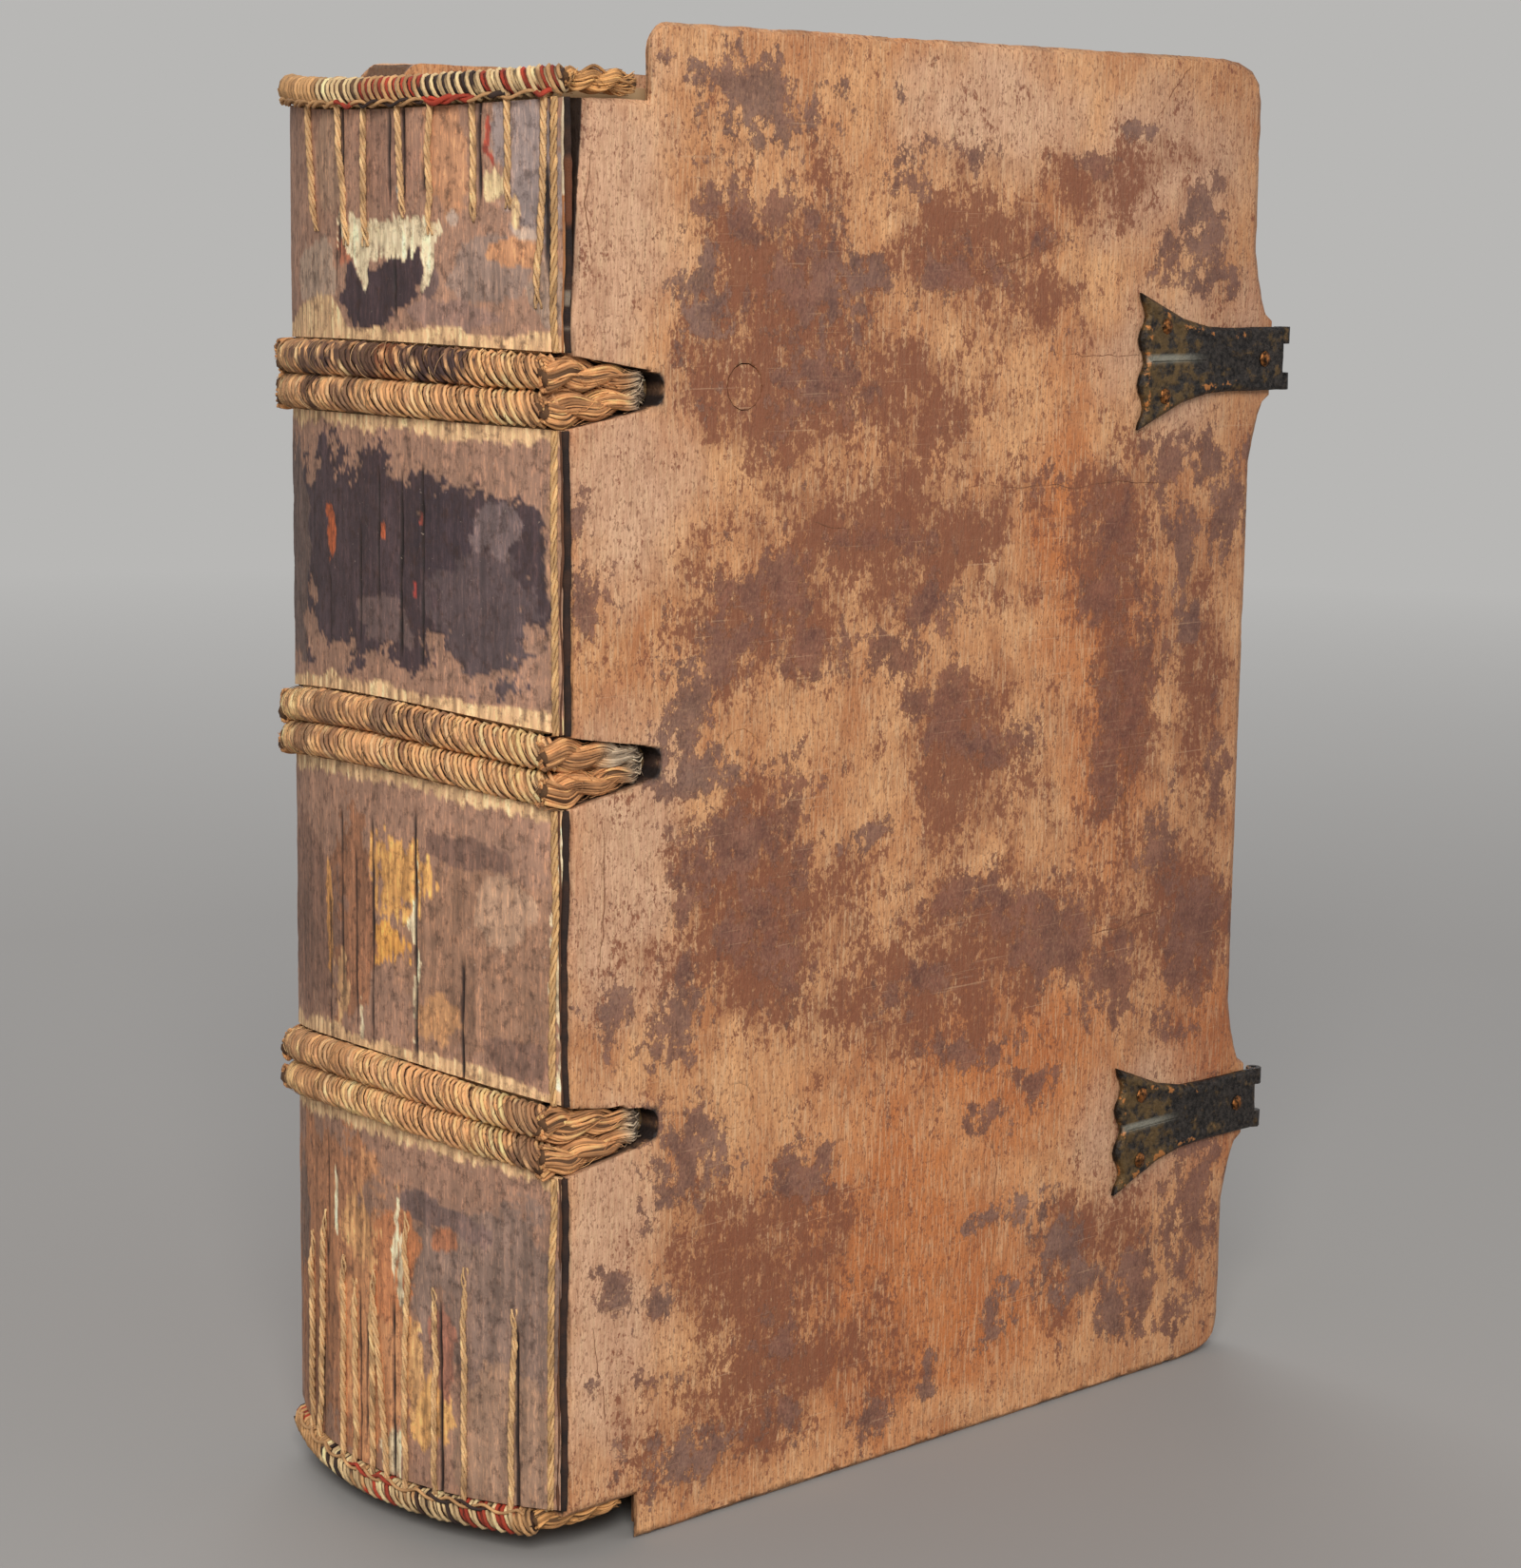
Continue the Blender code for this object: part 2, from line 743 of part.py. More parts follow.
def make_catch(name, height, side, materials, parent):
    """A sheet catch: the plate, its lip over the board's edge and two rolled knuckles."""
    outline = catch_outline(height)
    levels = (
        (-gap, outline),
        (catch_face + catch_bevel, outline),
        (catch_face, inset(outline, catch_bevel)),
    )
    plate = [[on_board(point.x, depth, point.y, side) for point in points] for depth, points in levels]
    catch = place_lofts(name, [plate], materials["catch"], parent)

    neck = catch_half_width(catch_length)
    lip_place = (board_width + gap, board_width + gap + knuckle_radius - knuckle_bore)
    lip_reach = neck - knuckle_length - gap
    lip_depths = (catch_face + catch_bevel, catch_lip)
    lip = box_rings(lip_place, lip_depths, (height - lip_reach, height + lip_reach), side)
    boolean(catch, f"{name}_lip", [lip], "UNION")

    for word, low in (("upper", height + neck - knuckle_length), ("lower", height - neck)):
        roll = roll_rings(knuckle_radius, (low, low + knuckle_length), side)
        boolean(catch, f"{name}_knuckle_{word}", [roll], "UNION")
    bore = roll_rings(knuckle_bore, (height - neck - overrun, height + neck + overrun), side)
    boolean(catch, f"{name}_bore", [bore], "DIFFERENCE")

    groove = []
    for x, share in ((catch_start - overrun, 1.0), (catch_start + groove_length, groove_end_share)):
        reach = groove_width / 2 * share
        floor = catch_face + groove_depth * share
        shape = ((catch_face - overrun, -reach), (floor, 0), (catch_face - overrun, reach))
        groove.append([on_board(x, depth, height + up, side) for depth, up in shape])
    holes = [groove]
    for x, z in catch_rivets(height):
        sizes = [(depth, rivet_radius + rivet_clearance) for depth in (catch_face - overrun, overrun)]
        holes.append(pin_rings(x, z, sizes, rivet_sides, side))
    boolean(catch, f"{name}_holes", holes, "DIFFERENCE")


def make_rivets(name, height, side, materials, parent):
    """Round-headed rivets through a catch and the board."""
    seat = catch_face - rivet_seat
    sizes = (
        (board_thick - gap, rivet_radius),
        (seat, rivet_radius),
        (seat, rivet_head_radius),
        (seat - rivet_head_height / 2, rivet_head_radius * head_side_share),
        (seat - rivet_head_height, rivet_head_radius * head_top_share),
    )
    words = ("wing_upper", "wing_lower", "neck")
    for word, (x, z) in zip(words, catch_rivets(height)):
        rings = pin_rings(x, z, sizes, rivet_sides, side)
        place_lofts(f"{name}_rivet_{word}", [rings], materials["rivet"], parent, smooth=True)


# The whole book


def main():
    for obj in list(bpy.data.objects):
        bpy.data.objects.remove(obj)

    materials = {
        "wood": make_material("bare_wood", (0.42, 0.25, 0.14), 0.7),
        "paper": make_material("leaf_edges", (0.62, 0.52, 0.38), 0.9),
        "lining": make_material("spine_lining", (0.20, 0.12, 0.08), 0.8),
        "thread": make_material("sewing_thread", (0.48, 0.30, 0.14), 0.85),
        "endband": make_material("endband_thread", (0.60, 0.38, 0.22), 0.85),
        "cord": make_material("hemp_cord", (0.50, 0.30, 0.15), 0.9),
        "peg": make_material("peg_wood", (0.38, 0.26, 0.18), 0.75),
        "pastedown": make_material("pastedown_paper", (0.58, 0.48, 0.34), 0.9),
        "catch": make_material("dark_brass", (0.10, 0.09, 0.06), 0.45, 0.9),
        "rivet": make_material("rivet_brass", (0.45, 0.22, 0.08), 0.4, 1.0),
    }

    spine = make_empty("spine", joint_place, 0)
    make_text_block(materials, spine)
    make_linings(materials, spine)
    make_wound_cords(materials, spine)
    make_endband("headband", head_ties, materials, spine)
    make_endband("tailband", tail_ties, materials, spine)

    rivets = [place for height in catch_heights for place in catch_rivets(height)]
    for name, side, height, head_notch, lands, holes in (
        ("front", -1, board_height, head_notch_width, catch_heights, rivets),
        ("back", 1, back_board_height, back_notch_width, (), ()),
    ):
        hinge = make_empty(f"{name}_hinge", joint_place, side * half_thick)
        make_board(f"{name}_board", side, height, head_notch, lands, holes, materials, hinge)
        make_slips(name, side, materials, hinge)
        make_lacing_pegs(name, side, materials, hinge)
        make_laced_ends(name, side, materials, hinge)
        make_core_ends(name, side, head_notch, materials, hinge)
        make_pastedown(name, side, materials, hinge)
        if lands:
            for word, land in zip(("upper", "lower"), lands):
                make_catch(f"{word}_catch", land, side, materials, hinge)
                make_rivets(f"{word}_catch", land, side, materials, hinge)


main()
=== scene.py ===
# %% [markdown]
# # A small antique book, its boards and spine laid bare
#
# The book stands on its tail. Its leather cover is gone, so the wooden boards, the cords they hang on
# and the sewn spine all show. This lesson dresses the imported model, piece by piece. It starts by
# loading that model as a fixed frame: every new piece is placed by it, and most move with one of its bodies.

# %% Load the imported model
import itertools
import math

import bmesh
import bpy
import numpy as np
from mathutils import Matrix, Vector


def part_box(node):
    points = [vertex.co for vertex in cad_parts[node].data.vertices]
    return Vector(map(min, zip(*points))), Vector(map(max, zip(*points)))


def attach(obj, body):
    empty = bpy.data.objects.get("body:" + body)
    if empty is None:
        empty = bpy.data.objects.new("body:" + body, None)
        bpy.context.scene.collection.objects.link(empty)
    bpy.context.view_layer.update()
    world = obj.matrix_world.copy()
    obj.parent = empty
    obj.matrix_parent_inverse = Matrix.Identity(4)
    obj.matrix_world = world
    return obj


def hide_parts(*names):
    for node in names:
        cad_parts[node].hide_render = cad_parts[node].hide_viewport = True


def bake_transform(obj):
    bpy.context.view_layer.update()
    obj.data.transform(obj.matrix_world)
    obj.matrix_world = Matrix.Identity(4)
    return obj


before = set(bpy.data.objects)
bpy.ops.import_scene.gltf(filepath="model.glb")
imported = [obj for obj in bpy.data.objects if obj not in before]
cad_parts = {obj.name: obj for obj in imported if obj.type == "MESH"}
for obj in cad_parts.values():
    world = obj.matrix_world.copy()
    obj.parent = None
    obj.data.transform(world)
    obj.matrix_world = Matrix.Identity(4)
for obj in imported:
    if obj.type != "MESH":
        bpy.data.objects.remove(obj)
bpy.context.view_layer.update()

# %% [markdown]
# ## The binder's measures
#
# A binder works from a few sizes: how thick the book is, how far the spine bulges, where the bands lie.
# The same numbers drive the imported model. They are repeated here in metres, because a visual piece has
# to lie exactly where the solid lies. `joint` is the line where the spine meets the boards.

# %% Measures
mm = 0.001
board_height = 165 * mm
half_thick = 25.05 * mm
spine_round = 7.3 * mm
joint = -53.3 * mm
band_heights = [board_height * share for share in (0.7703, 0.5291, 0.2867)]
band_rises = (0.6 * mm, 2.2 * mm, 2.6 * mm)
cord_radius, cord_spacing = 1.8 * mm, 3.8 * mm
endbands = {"headband": (158.7 * mm, 1.1 * mm, 0.97), "tailband": (4.2 * mm, 0.6 * mm, 0.86)}
endband_radius = 1.5 * mm
# Tie-downs: share of the way along the endband, and length as a share of the longest. The longest runs
# 23 mm down from the headband, or 33 mm up from the tailband
head_ties = (
    (0.04, 1.00), (0.12, 0.55), (0.20, 0.60), (0.31, 0.65), (0.40, 0.57), (0.51, 0.70), (0.61, 0.70), (0.77, 0.65),
)
tail_ties = (
    (0.06, 0.73), (0.19, 0.85), (0.28, 0.76), (0.38, 1.00), (0.44, 0.70),
    (0.50, 0.76), (0.58, 0.70), (0.64, 0.76), (0.79, 0.88), (0.85, 0.76),
)
tie_downs = {
    "headband": [(share, -23 * mm * part) for share, part in head_ties],
    "tailband": [(share, 33 * mm * part) for share, part in tail_ties],
}
spine_radius = (half_thick**2 + spine_round**2) / (2 * spine_round)
spine_centre = spine_radius - spine_round
spine_half_angle = math.asin(half_thick / spine_radius)
up = np.array((0.0, 0.0, 1.0))
print(f"spine radius {spine_radius / mm:.1f} mm, half angle {math.degrees(spine_half_angle):.1f} degrees")

# %% [markdown]
# ## The camera
#
# The photograph looks down a little on the book from the left of its front board. Its camera was worked
# out from the corners of the board, so that the board's edges fall where they fall in the photograph.

# %% Camera
camera_data = bpy.data.cameras.new("studio_camera")
camera_data.sensor_fit = "HORIZONTAL"
camera_data.sensor_width = 36
camera_data.lens = 78.905
camera_data.clip_start = 0.01
camera = bpy.data.objects.new("studio_camera", camera_data)
bpy.context.scene.collection.objects.link(camera)
camera_place = (-0.27117, -0.29306, 0.14441)
yaw, pitch, roll = 0.74080, 0.16632, 0.01338
ahead = Vector((math.sin(yaw) * math.cos(pitch), math.cos(yaw) * math.cos(pitch), -math.sin(pitch)))
level_right = Vector((math.cos(yaw), -math.sin(yaw), 0))
level_up = level_right.cross(ahead)
right = math.cos(roll) * level_right + math.sin(roll) * level_up
above = -math.sin(roll) * level_right + math.cos(roll) * level_up
camera.matrix_world = [
    [right[i], above[i], -ahead[i], place] for i, place in enumerate(camera_place)
] + [[0, 0, 0, 1]]
camera.matrix_world.transpose()
bpy.context.scene.camera = camera
bpy.context.scene.view_settings.view_transform = "Standard"
print("camera", [round(value, 3) for value in camera.location], "lens", camera_data.lens)

# %% [markdown]
# ## Colours and recipes
#
# A finish is built from nodes: clouds of noise, steps that sharpen them, and coats that lay one colour
# over another. A small class keeps each recipe short. Colours are written as a screen shows them and
# turned into linear light, which is what the shader works with.

# %% Recipes
def linear(colours):
    """Colours as a screen shows them, from 0 to 255, turned into linear light."""
    part = np.asarray(colours, float) / 255
    return np.where(part <= 0.04045, part / 12.92, ((part + 0.055) / 1.055) ** 2.4)


def shade(red, green, blue):
    """One colour in linear light, with the fourth value that a socket wants."""
    return [*linear((red, green, blue)).tolist(), 1.0]


class Recipe:
    """A material that is built up node by node."""

    def __init__(self, name, roughness=0.8, **plain):
        self.material = bpy.data.materials.new(name)
        self.material.use_nodes = True
        self.tree = self.material.node_tree
        self.shader = self.tree.nodes["Principled BSDF"]
        self.shader.inputs["Roughness"].default_value = roughness
        for socket, value in plain.items():
            self.shader.inputs[socket.replace("_", " ").capitalize()].default_value = value
        self.place = self.add("TexCoord", "Object")

    def add(self, kind, output, inputs=(), **settings):
        """Adds a node, fills its inputs with numbers or links, and returns one of its outputs."""
        node = self.tree.nodes.new("ShaderNode" + kind)
        for setting, value in settings.items():
            setattr(node, setting, value)
        for socket, value in dict(inputs).items():
            if isinstance(value, bpy.types.NodeSocket):
                self.tree.links.new(value, node.inputs[socket])
            else:
                node.inputs[socket].default_value = value
        return node.outputs[output]

    def cloud(self, size, stretch=(1, 1, 1), detail=4.0, rough=0.55, seed=0.0):
        """Soft noise from 0 to 1, with clouds of this size in metres, longer along the stretched axes."""
        scale = [1 / (size * part) for part in stretch]
        where = self.add("Mapping", 0, {"Vector": self.place, "Scale": scale, "Location": (seed, seed, seed)})
        fill = {"Vector": where, "Scale": 1.0, "Detail": detail, "Roughness": rough}
        return self.add("TexNoise", 0, fill)

    def step(self, value, low, high, first=0.0, last=1.0):
        """Goes from first to last as the value goes from low to high."""
        fill = {"Value": value, "From Min": low, "From Max": high, "To Min": first, "To Max": last}
        return self.add("MapRange", 0, fill)

    def sum(self, first, second, operation="ADD"):
        return self.add("Math", 0, {0: first, 1: second}, operation=operation)

    def times(self, first, second):
        return self.sum(first, second, "MULTIPLY")

    def mix(self, share, first, second, blend_type="MIX"):
        """A colour between two colours."""
        fill = {0: share, 6: first, 7: second}
        return self.add("Mix", 2, fill, data_type="RGBA", blend_type=blend_type)

    def coat(self, under, over, value, low, high, most=1.0, blend_type="MIX"):
        """Lays a colour over another where the value is past low, with its full share, most, from high up."""
        return self.mix(self.step(value, low, high, 0.0, most), under, over, blend_type)

    def swing(self, cloud, reach):
        """A cloud moved to lie round 0 and made stronger or weaker."""
        return self.times(self.sum(cloud, -0.5), reach)

    def mark(self, name, output="Fac"):
        """A value or colour that the mesh carries at its points."""
        return self.add("Attribute", output, attribute_name=name)

    def relief(self, height, depth):
        """Makes the surface look raised by this height map, up to depth in metres."""
        return self.add("Bump", 0, {"Height": height, "Distance": depth, "Strength": 1.0})

    def finish(self, colour=None, roughness=None, normal=None):
        """Links what the recipe made to the shader."""
        for socket, source in (("Base Color", colour), ("Roughness", roughness), ("Normal", normal)):
            if source is not None:
                self.tree.links.new(source, self.shader.inputs[socket])
        return self.material


print("mid grey in linear light:", round(shade(128, 128, 128)[0], 3))

# %% [markdown]
# ## The studio
#
# The book stands on plain pale paper. Far off, the camera sees the paper glow in the backdrop's tone, so
# that no horizon shows. Near the book it is a plain surface that keeps the shadow.

# %% Floor
def mesh_object(name, points, faces, material):
    """A new object from lists of points and faces."""
    mesh = bpy.data.meshes.new(name)
    mesh.from_pydata([tuple(point) for point in points], [], faces)
    mesh.materials.append(material)
    obj = bpy.data.objects.new(name, mesh)
    bpy.context.scene.collection.objects.link(obj)
    return obj


backdrop_tone = shade(184, 183, 181)
paper_floor = Recipe("studio_paper", 0.9)
floor_tone = paper_floor.mix(paper_floor.cloud(0.4), shade(150, 148, 146), shade(156, 154, 151))
paper_floor.finish(colour=floor_tone)
distance = paper_floor.add("VectorMath", "Value", {0: paper_floor.place}, operation="LENGTH")
camera_ray = paper_floor.add("LightPath", "Is Camera Ray")
fade = paper_floor.times(paper_floor.step(distance, 0.30, 1.0), camera_ray)
glow = paper_floor.add("Emission", 0, {"Color": backdrop_tone})
blended = paper_floor.add("MixShader", 0, {0: fade, 1: paper_floor.shader.outputs[0], 2: glow})
paper_floor.tree.links.new(blended, paper_floor.tree.nodes["Material Output"].inputs["Surface"])
floor_reach = 6.0
corners = [(x * floor_reach, y * floor_reach, 0) for x, y in ((-1, -1), (1, -1), (1, 1), (-1, 1))]
floor = mesh_object("studio_floor", corners, [(0, 1, 2, 3)], paper_floor.material)
print(f"floor {2 * floor_reach:.0f} m wide")

# %% [markdown]
# Big lamps give soft shadows, and the world fills them in. They are at a level where a colour renders
# about as it is written. The camera sees the backdrop's tone where it looks past the floor.

# %% World and lamps
world = bpy.data.worlds.new("studio_world")
bpy.context.scene.world = world
world.use_nodes = True
world_nodes = world.node_tree
sky = world_nodes.nodes["Background"]
sky.inputs["Strength"].default_value = 1.0
rays = world_nodes.nodes.new("ShaderNodeLightPath")
seen = world_nodes.nodes.new("ShaderNodeMath")
seen.operation = "MAXIMUM"
world_nodes.links.new(rays.outputs["Is Camera Ray"], seen.inputs[0])
world_nodes.links.new(rays.outputs["Is Transmission Ray"], seen.inputs[1])
backdrop = world_nodes.nodes.new("ShaderNodeMix")
backdrop.data_type = "RGBA"
backdrop.inputs[6].default_value = (0.40, 0.40, 0.41, 1)
backdrop.inputs[7].default_value = backdrop_tone
world_nodes.links.new(seen.outputs[0], backdrop.inputs[0])
world_nodes.links.new(backdrop.outputs[2], sky.inputs["Color"])


def lamp(name, place, target, size, power, tint=(1, 1, 1)):
    """A square softbox that faces the target."""
    data = bpy.data.lights.new(name, "AREA")
    data.size, data.energy, data.color = size, power, tint
    obj = bpy.data.objects.new(name, data)
    obj.location = place
    obj.rotation_euler = (Vector(target) - Vector(place)).to_track_quat("-Z", "Y").to_euler()
    bpy.context.scene.collection.objects.link(obj)
    return obj


middle = (0, 0, 0.08)
lamp("key_softbox", (-0.62, -0.66, 0.62), middle, 0.42, 8.3, (1.0, 0.97, 0.93))
lamp("fill_softbox", (0.75, -1.0, 0.35), middle, 0.9, 2.6)
lamp("back_softbox", (0.5, 0.9, 0.9), middle, 0.9, 6.0)
print(len(bpy.data.lights), "lamps")

# %% [markdown]
# ## Chance that repeats
#
# Old wood, fibres and worn edges are never regular. Their irregularity comes from smooth random values,
# made from a hash of the place, so the same book comes out each time the script runs.

# %% Random values
def swells(points, size, seed):
    """Smooth random values from -1 to 1 over points, with swells of this size in metres."""
    cells = np.asarray(points, float) / np.asarray(size) + seed * 17.31
    low = np.floor(cells).astype(np.int64)
    part = cells - low
    part = part * part * (3 - 2 * part)
    total = np.zeros(len(cells))
    for corner in itertools.product((False, True), repeat=3):
        key = (low + np.array(corner)) @ np.array((374761393, 668265263, 2147483647))
        key = (key ^ (key >> 13)) * 1274126177
        value = ((key ^ (key >> 16)) & 65535) / 32767.5 - 1
        total += value * np.prod(np.where(np.array(corner), part, 1 - part), axis=1)
    return total


def ragged(points, size, seed, layers=4, weight=0.6):
    """Random values with finer and finer swells added, for torn and weathered edges."""
    total = np.zeros(len(points))
    share = 1.0
    for layer in range(layers):
        total += share * swells(points, np.asarray(size) / 2**layer, seed + layer)
        share *= weight
    return total


def ease(value, low, high):
    """A smooth step from 0 at low to 1 at high."""
    part = np.clip((value - low) / (high - low), 0, 1)
    return part * part * (3 - 2 * part)


chance = np.random.default_rng(7)
print("first random value", np.round(swells(np.zeros((1, 3)) + 0.1, 1, 1), 3))

# %% [markdown]
# ## From points to pieces
#
# Most pieces here are made in code as arrays of points and faces. One helper turns the arrays into an
# object, writes the values that its material reads, and says which body the piece moves with.

# %% Piece helpers
def as_points(x, y=0, z=0):
    """Points from an array of values along x, and arrays or single values along y and z."""
    return np.stack([x + 0 * x, y + 0 * x, z + 0 * x], axis=1)


def carry(obj, body, replaced=(), values=(), colours=()):
    """Gives a piece its body, the nodes that it stands for and the values at its points."""
    for name, value in dict(values).items():
        layer = obj.data.attributes.new(name, "FLOAT", "POINT")
        layer.data.foreach_set("value", np.asarray(value, np.float32))
    for name, value in dict(colours).items():
        layer = obj.data.attributes.new(name, "FLOAT_COLOR", "POINT")
        full = np.ones((len(value), 4), np.float32)
        full[:, :3] = np.asarray(value)[:, :3]
        layer.data.foreach_set("color", full.ravel())
    if isinstance(body, str):
        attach(obj, body)
    else:
        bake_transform(obj)
    if replaced:
        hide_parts(*replaced)
    return obj


def smooth(obj, degrees=180):
    obj.data.shade_smooth()
    if degrees < 180:
        obj.data.set_sharp_from_angle(angle=math.radians(degrees))
    return obj


def surface_of(obj):
    """The points of an object's mesh and their normals."""
    lists = []
    for kind in ("co", "normal"):
        flat = np.empty(len(obj.data.vertices) * 3)
        obj.data.vertices.foreach_get(kind, flat)
        lists.append(flat.reshape(-1, 3))
    return lists


print("helpers for points and bodies")

# %% [markdown]
# A surface can only be worn if it has points to move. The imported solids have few, so a copy is cut along
# evenly spaced planes. That keeps every edge and hole of the solid exactly where it is.

# %% Fine copies
def slice_faces(bm, faces, axis, places):
    """Cuts the faces along planes across one axis, from the lowest place up."""
    normal = [float(i == axis) for i in range(3)]
    for place in places:
        geometry = {vert for face in faces for vert in face.verts} | {e for face in faces for e in face.edges}
        cut = bmesh.ops.bisect_plane(
            bm, geom=[*geometry, *faces], plane_co=[place * n for n in normal], plane_no=normal, dist=1e-7
        )
        left = [item for item in cut["geom"] if isinstance(item, bmesh.types.BMFace)]
        faces = [face for face in left if max(vert.co[axis] for vert in face.verts) > place + 1e-6]


def fine_copy(node, name, steps, chosen=None):
    """A copy of a node's mesh, sliced so finely along each axis that its surface can be worn."""
    bm = bmesh.new()
    bm.from_mesh(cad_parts[node].data)
    bmesh.ops.remove_doubles(bm, verts=bm.verts, dist=1e-6)
    bmesh.ops.dissolve_limit(bm, angle_limit=0.002, verts=bm.verts, edges=bm.edges)
    for axis, step in steps:
        low, high = (end[axis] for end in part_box(node))
        bm.normal_update()
        faces = [face for face in bm.faces if chosen is None or chosen(face, axis)]
        slice_faces(bm, faces, axis, np.arange(low + step, high - step / 4, step))
    mesh = bpy.data.meshes.new(name)
    bm.to_mesh(mesh)
    bm.free()
    obj = bpy.data.objects.new(name, mesh)
    bpy.context.scene.collection.objects.link(obj)
    return obj


def move_points(obj, moved):
    obj.data.vertices.foreach_set("co", np.asarray(moved, np.float32).ravel())
    obj.data.update()


print(len(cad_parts["front_board"].data.vertices), "points in the solid of the front board")

# %% [markdown]
# ## Bare wood and what is left on it
#
# The boards were covered with leather. Where it came away, paste and leather fibres stayed on the wood as
# dark purple-brown patches with torn edges. A shader alone would put patches anywhere, so the main ones
# are listed, in millimetres from the spine edge and the foot, and noise tears their edges.

# %% Where the residue lies on the front board
# Each patch: place across, height, reach across, reach up (mm). Patches of residue also say how grey
# they are, from 0 for red-brown to 1
front_residue = (
    (27, 158.3, 11, 4, 0.8), (46, 150, 3.5, 3, 0.5), (51.5, 153.5, 4.5, 1.8, 0.7), (59, 152, 4, 2, 0.5),
    (26, 146, 10.5, 3.5, 0.4), (35, 138, 9, 6, 0.4), (19, 135.5, 3.5, 7.5, 0.9), (40, 137, 4.5, 6, 0.9),
    (55.5, 138.5, 8, 3, 0.3), (71, 142.5, 5, 1.5, 0.3), (33, 127, 4, 3, 0.4), (30, 124, 2.5, 4, 0.3),
    (38, 126, 5, 3, 0.1), (80, 153, 3, 2, 0.3), (87, 156.5, 2.5, 1.2, 0.9), (99, 144, 4, 5.5, 1),
    (97, 148, 2.5, 2.5, 0.9), (102, 138, 4, 3, 0.9), (93, 140, 2.5, 3, 0.7), (100, 117, 5, 4, 0.8),
    (106, 112, 4, 6, 0.8), (93, 116, 4, 5, 0.5), (85, 109, 4.5, 6, 0), (83, 100, 4, 5, 0), (98, 106, 2.5, 6, 0.7),
    (73, 114.5, 3, 2, 0), (2, 113, 2, 3, 0.6), (3, 105, 2.5, 5, 0.5), (29, 106.5, 7.5, 3.5, 0.2),
    (30, 105, 5, 3, 0.1), (46, 109.5, 8, 2.5, 0.1), (22, 98, 6, 4.5, 0.4), (15.5, 92, 4, 8, 0.6),
    (33, 97.5, 6, 3, 0.2), (54, 100.5, 6, 2.5, 0.1), (47, 96.5, 6, 2.5, 0.2), (52, 90, 3, 3, 0.1),
    (57, 86.5, 5, 4, 0.2), (56.5, 91, 3, 4, 0.1), (67.5, 83.5, 6, 2.3, 0.2), (15, 88.5, 3.2, 6.5, 0.8),
    (21, 84.5, 4, 3.5, 0.9), (24, 77, 6.5, 5, 0.3), (17, 74, 4, 6, 0.4), (29, 70, 5.5, 6, 0.2),
    (31, 62, 4.5, 5, 0.2), (25, 66, 5, 4, 0.2), (33, 80.5, 4.5, 5, 0.1), (43.5, 75, 3.5, 1.8, 0.6),
    (15, 66, 2.5, 4, 0.5), (14.5, 57.5, 5, 6, 0.7), (6.5, 60.5, 3, 4, 0.8), (56, 67, 6, 2.5, 0.1),
    (67.5, 64, 8, 4.5, 0.2), (72, 59, 6, 4.5, 0.2), (52, 57, 8, 2.5, 0.3), (57, 56.5, 4, 1.5, 0.3),
    (62, 47.5, 8, 2.5, 0.3), (72.5, 42.5, 3.5, 3, 0.3), (79.5, 59.5, 5, 6, 0.2), (87, 53.5, 6, 5, 0.2),
    (96, 69, 4, 6, 0.5), (102, 58, 6, 6, 0.4), (101, 50, 7, 5, 0.4), (105.5, 76, 2.5, 7, 0.5), (88, 92, 6, 8, 0),
    (89, 84, 5, 5, 0), (85, 80, 4, 6, 0), (99, 96, 3, 3.5, 0.8), (34, 38, 5, 4.5, 0.5), (17, 42, 5, 6, 0.7),
    (6, 31, 3, 2, 0.9), (12.5, 28, 1.5, 3, 0.8), (4, 19.5, 2, 1.2, 0.9), (11, 17, 3, 2, 0.6), (33, 17, 4, 4, 0.4),
    (20, 8, 9, 3, 0.9), (32, 10, 4, 3, 0.5), (55.5, 8, 3.5, 2.5, 0.9), (56, 12, 1.5, 1.5, 0.8),
    (68, 13.5, 3, 2.8, 0.8), (65.5, 27.5, 3, 1.5, 0.8), (74.5, 25, 3.5, 2.5, 0.9), (78.5, 20, 5, 4, 0.9),
    (82, 15.5, 5, 3.5, 0.9), (89, 9.5, 6, 4, 0.8), (94, 13, 5, 4, 0.6), (103, 20, 5.5, 11, 0.6),
    (99, 7.5, 6, 3, 0.7), (63, 39, 3, 2, 0.4), (45, 7, 4, 2, 0.4),
)
# Where only a thin film is left, broken up by the grain
front_film = (
    (30, 133, 17, 20), (60, 141, 18, 10), (46, 110, 26, 10), (28, 102, 14, 9), (85, 105, 9, 15), (87, 86, 9, 16),
    (60, 82, 15, 13), (66, 61, 24, 10), (28, 68, 15, 17), (28, 27, 16, 13), (50, 127, 16, 8), (101, 88, 6, 14),
    (52, 54, 22, 9), (30, 12, 24, 8), (84, 20, 14, 10), (80, 150, 16, 6), (100, 60, 9, 14),
)
front_warmth = (
    (50, 26, 22, 24), (76, 108, 7, 22), (84, 86, 9, 26), (68, 45, 20, 14), (60, 12, 30, 8), (104, 40, 8, 20),
)
front_pallor = (
    (4, 145, 9, 22), (62, 158, 16, 8), (8, 75, 9, 18), (8, 118, 9, 12), (5, 30, 8, 24), (92, 152, 16, 10),
    (93, 128.7, 12, 10), (93, 33.2, 12, 10), (108, 132, 5, 6),
)
print(len(front_residue), "patches of residue on the front board")

# %% [markdown]
# These patches are turned into values at the points of the board: how much residue lies there, how much
# thin film, how warm or pale the wood is, and how grey the residue. The shader reads them as marks.

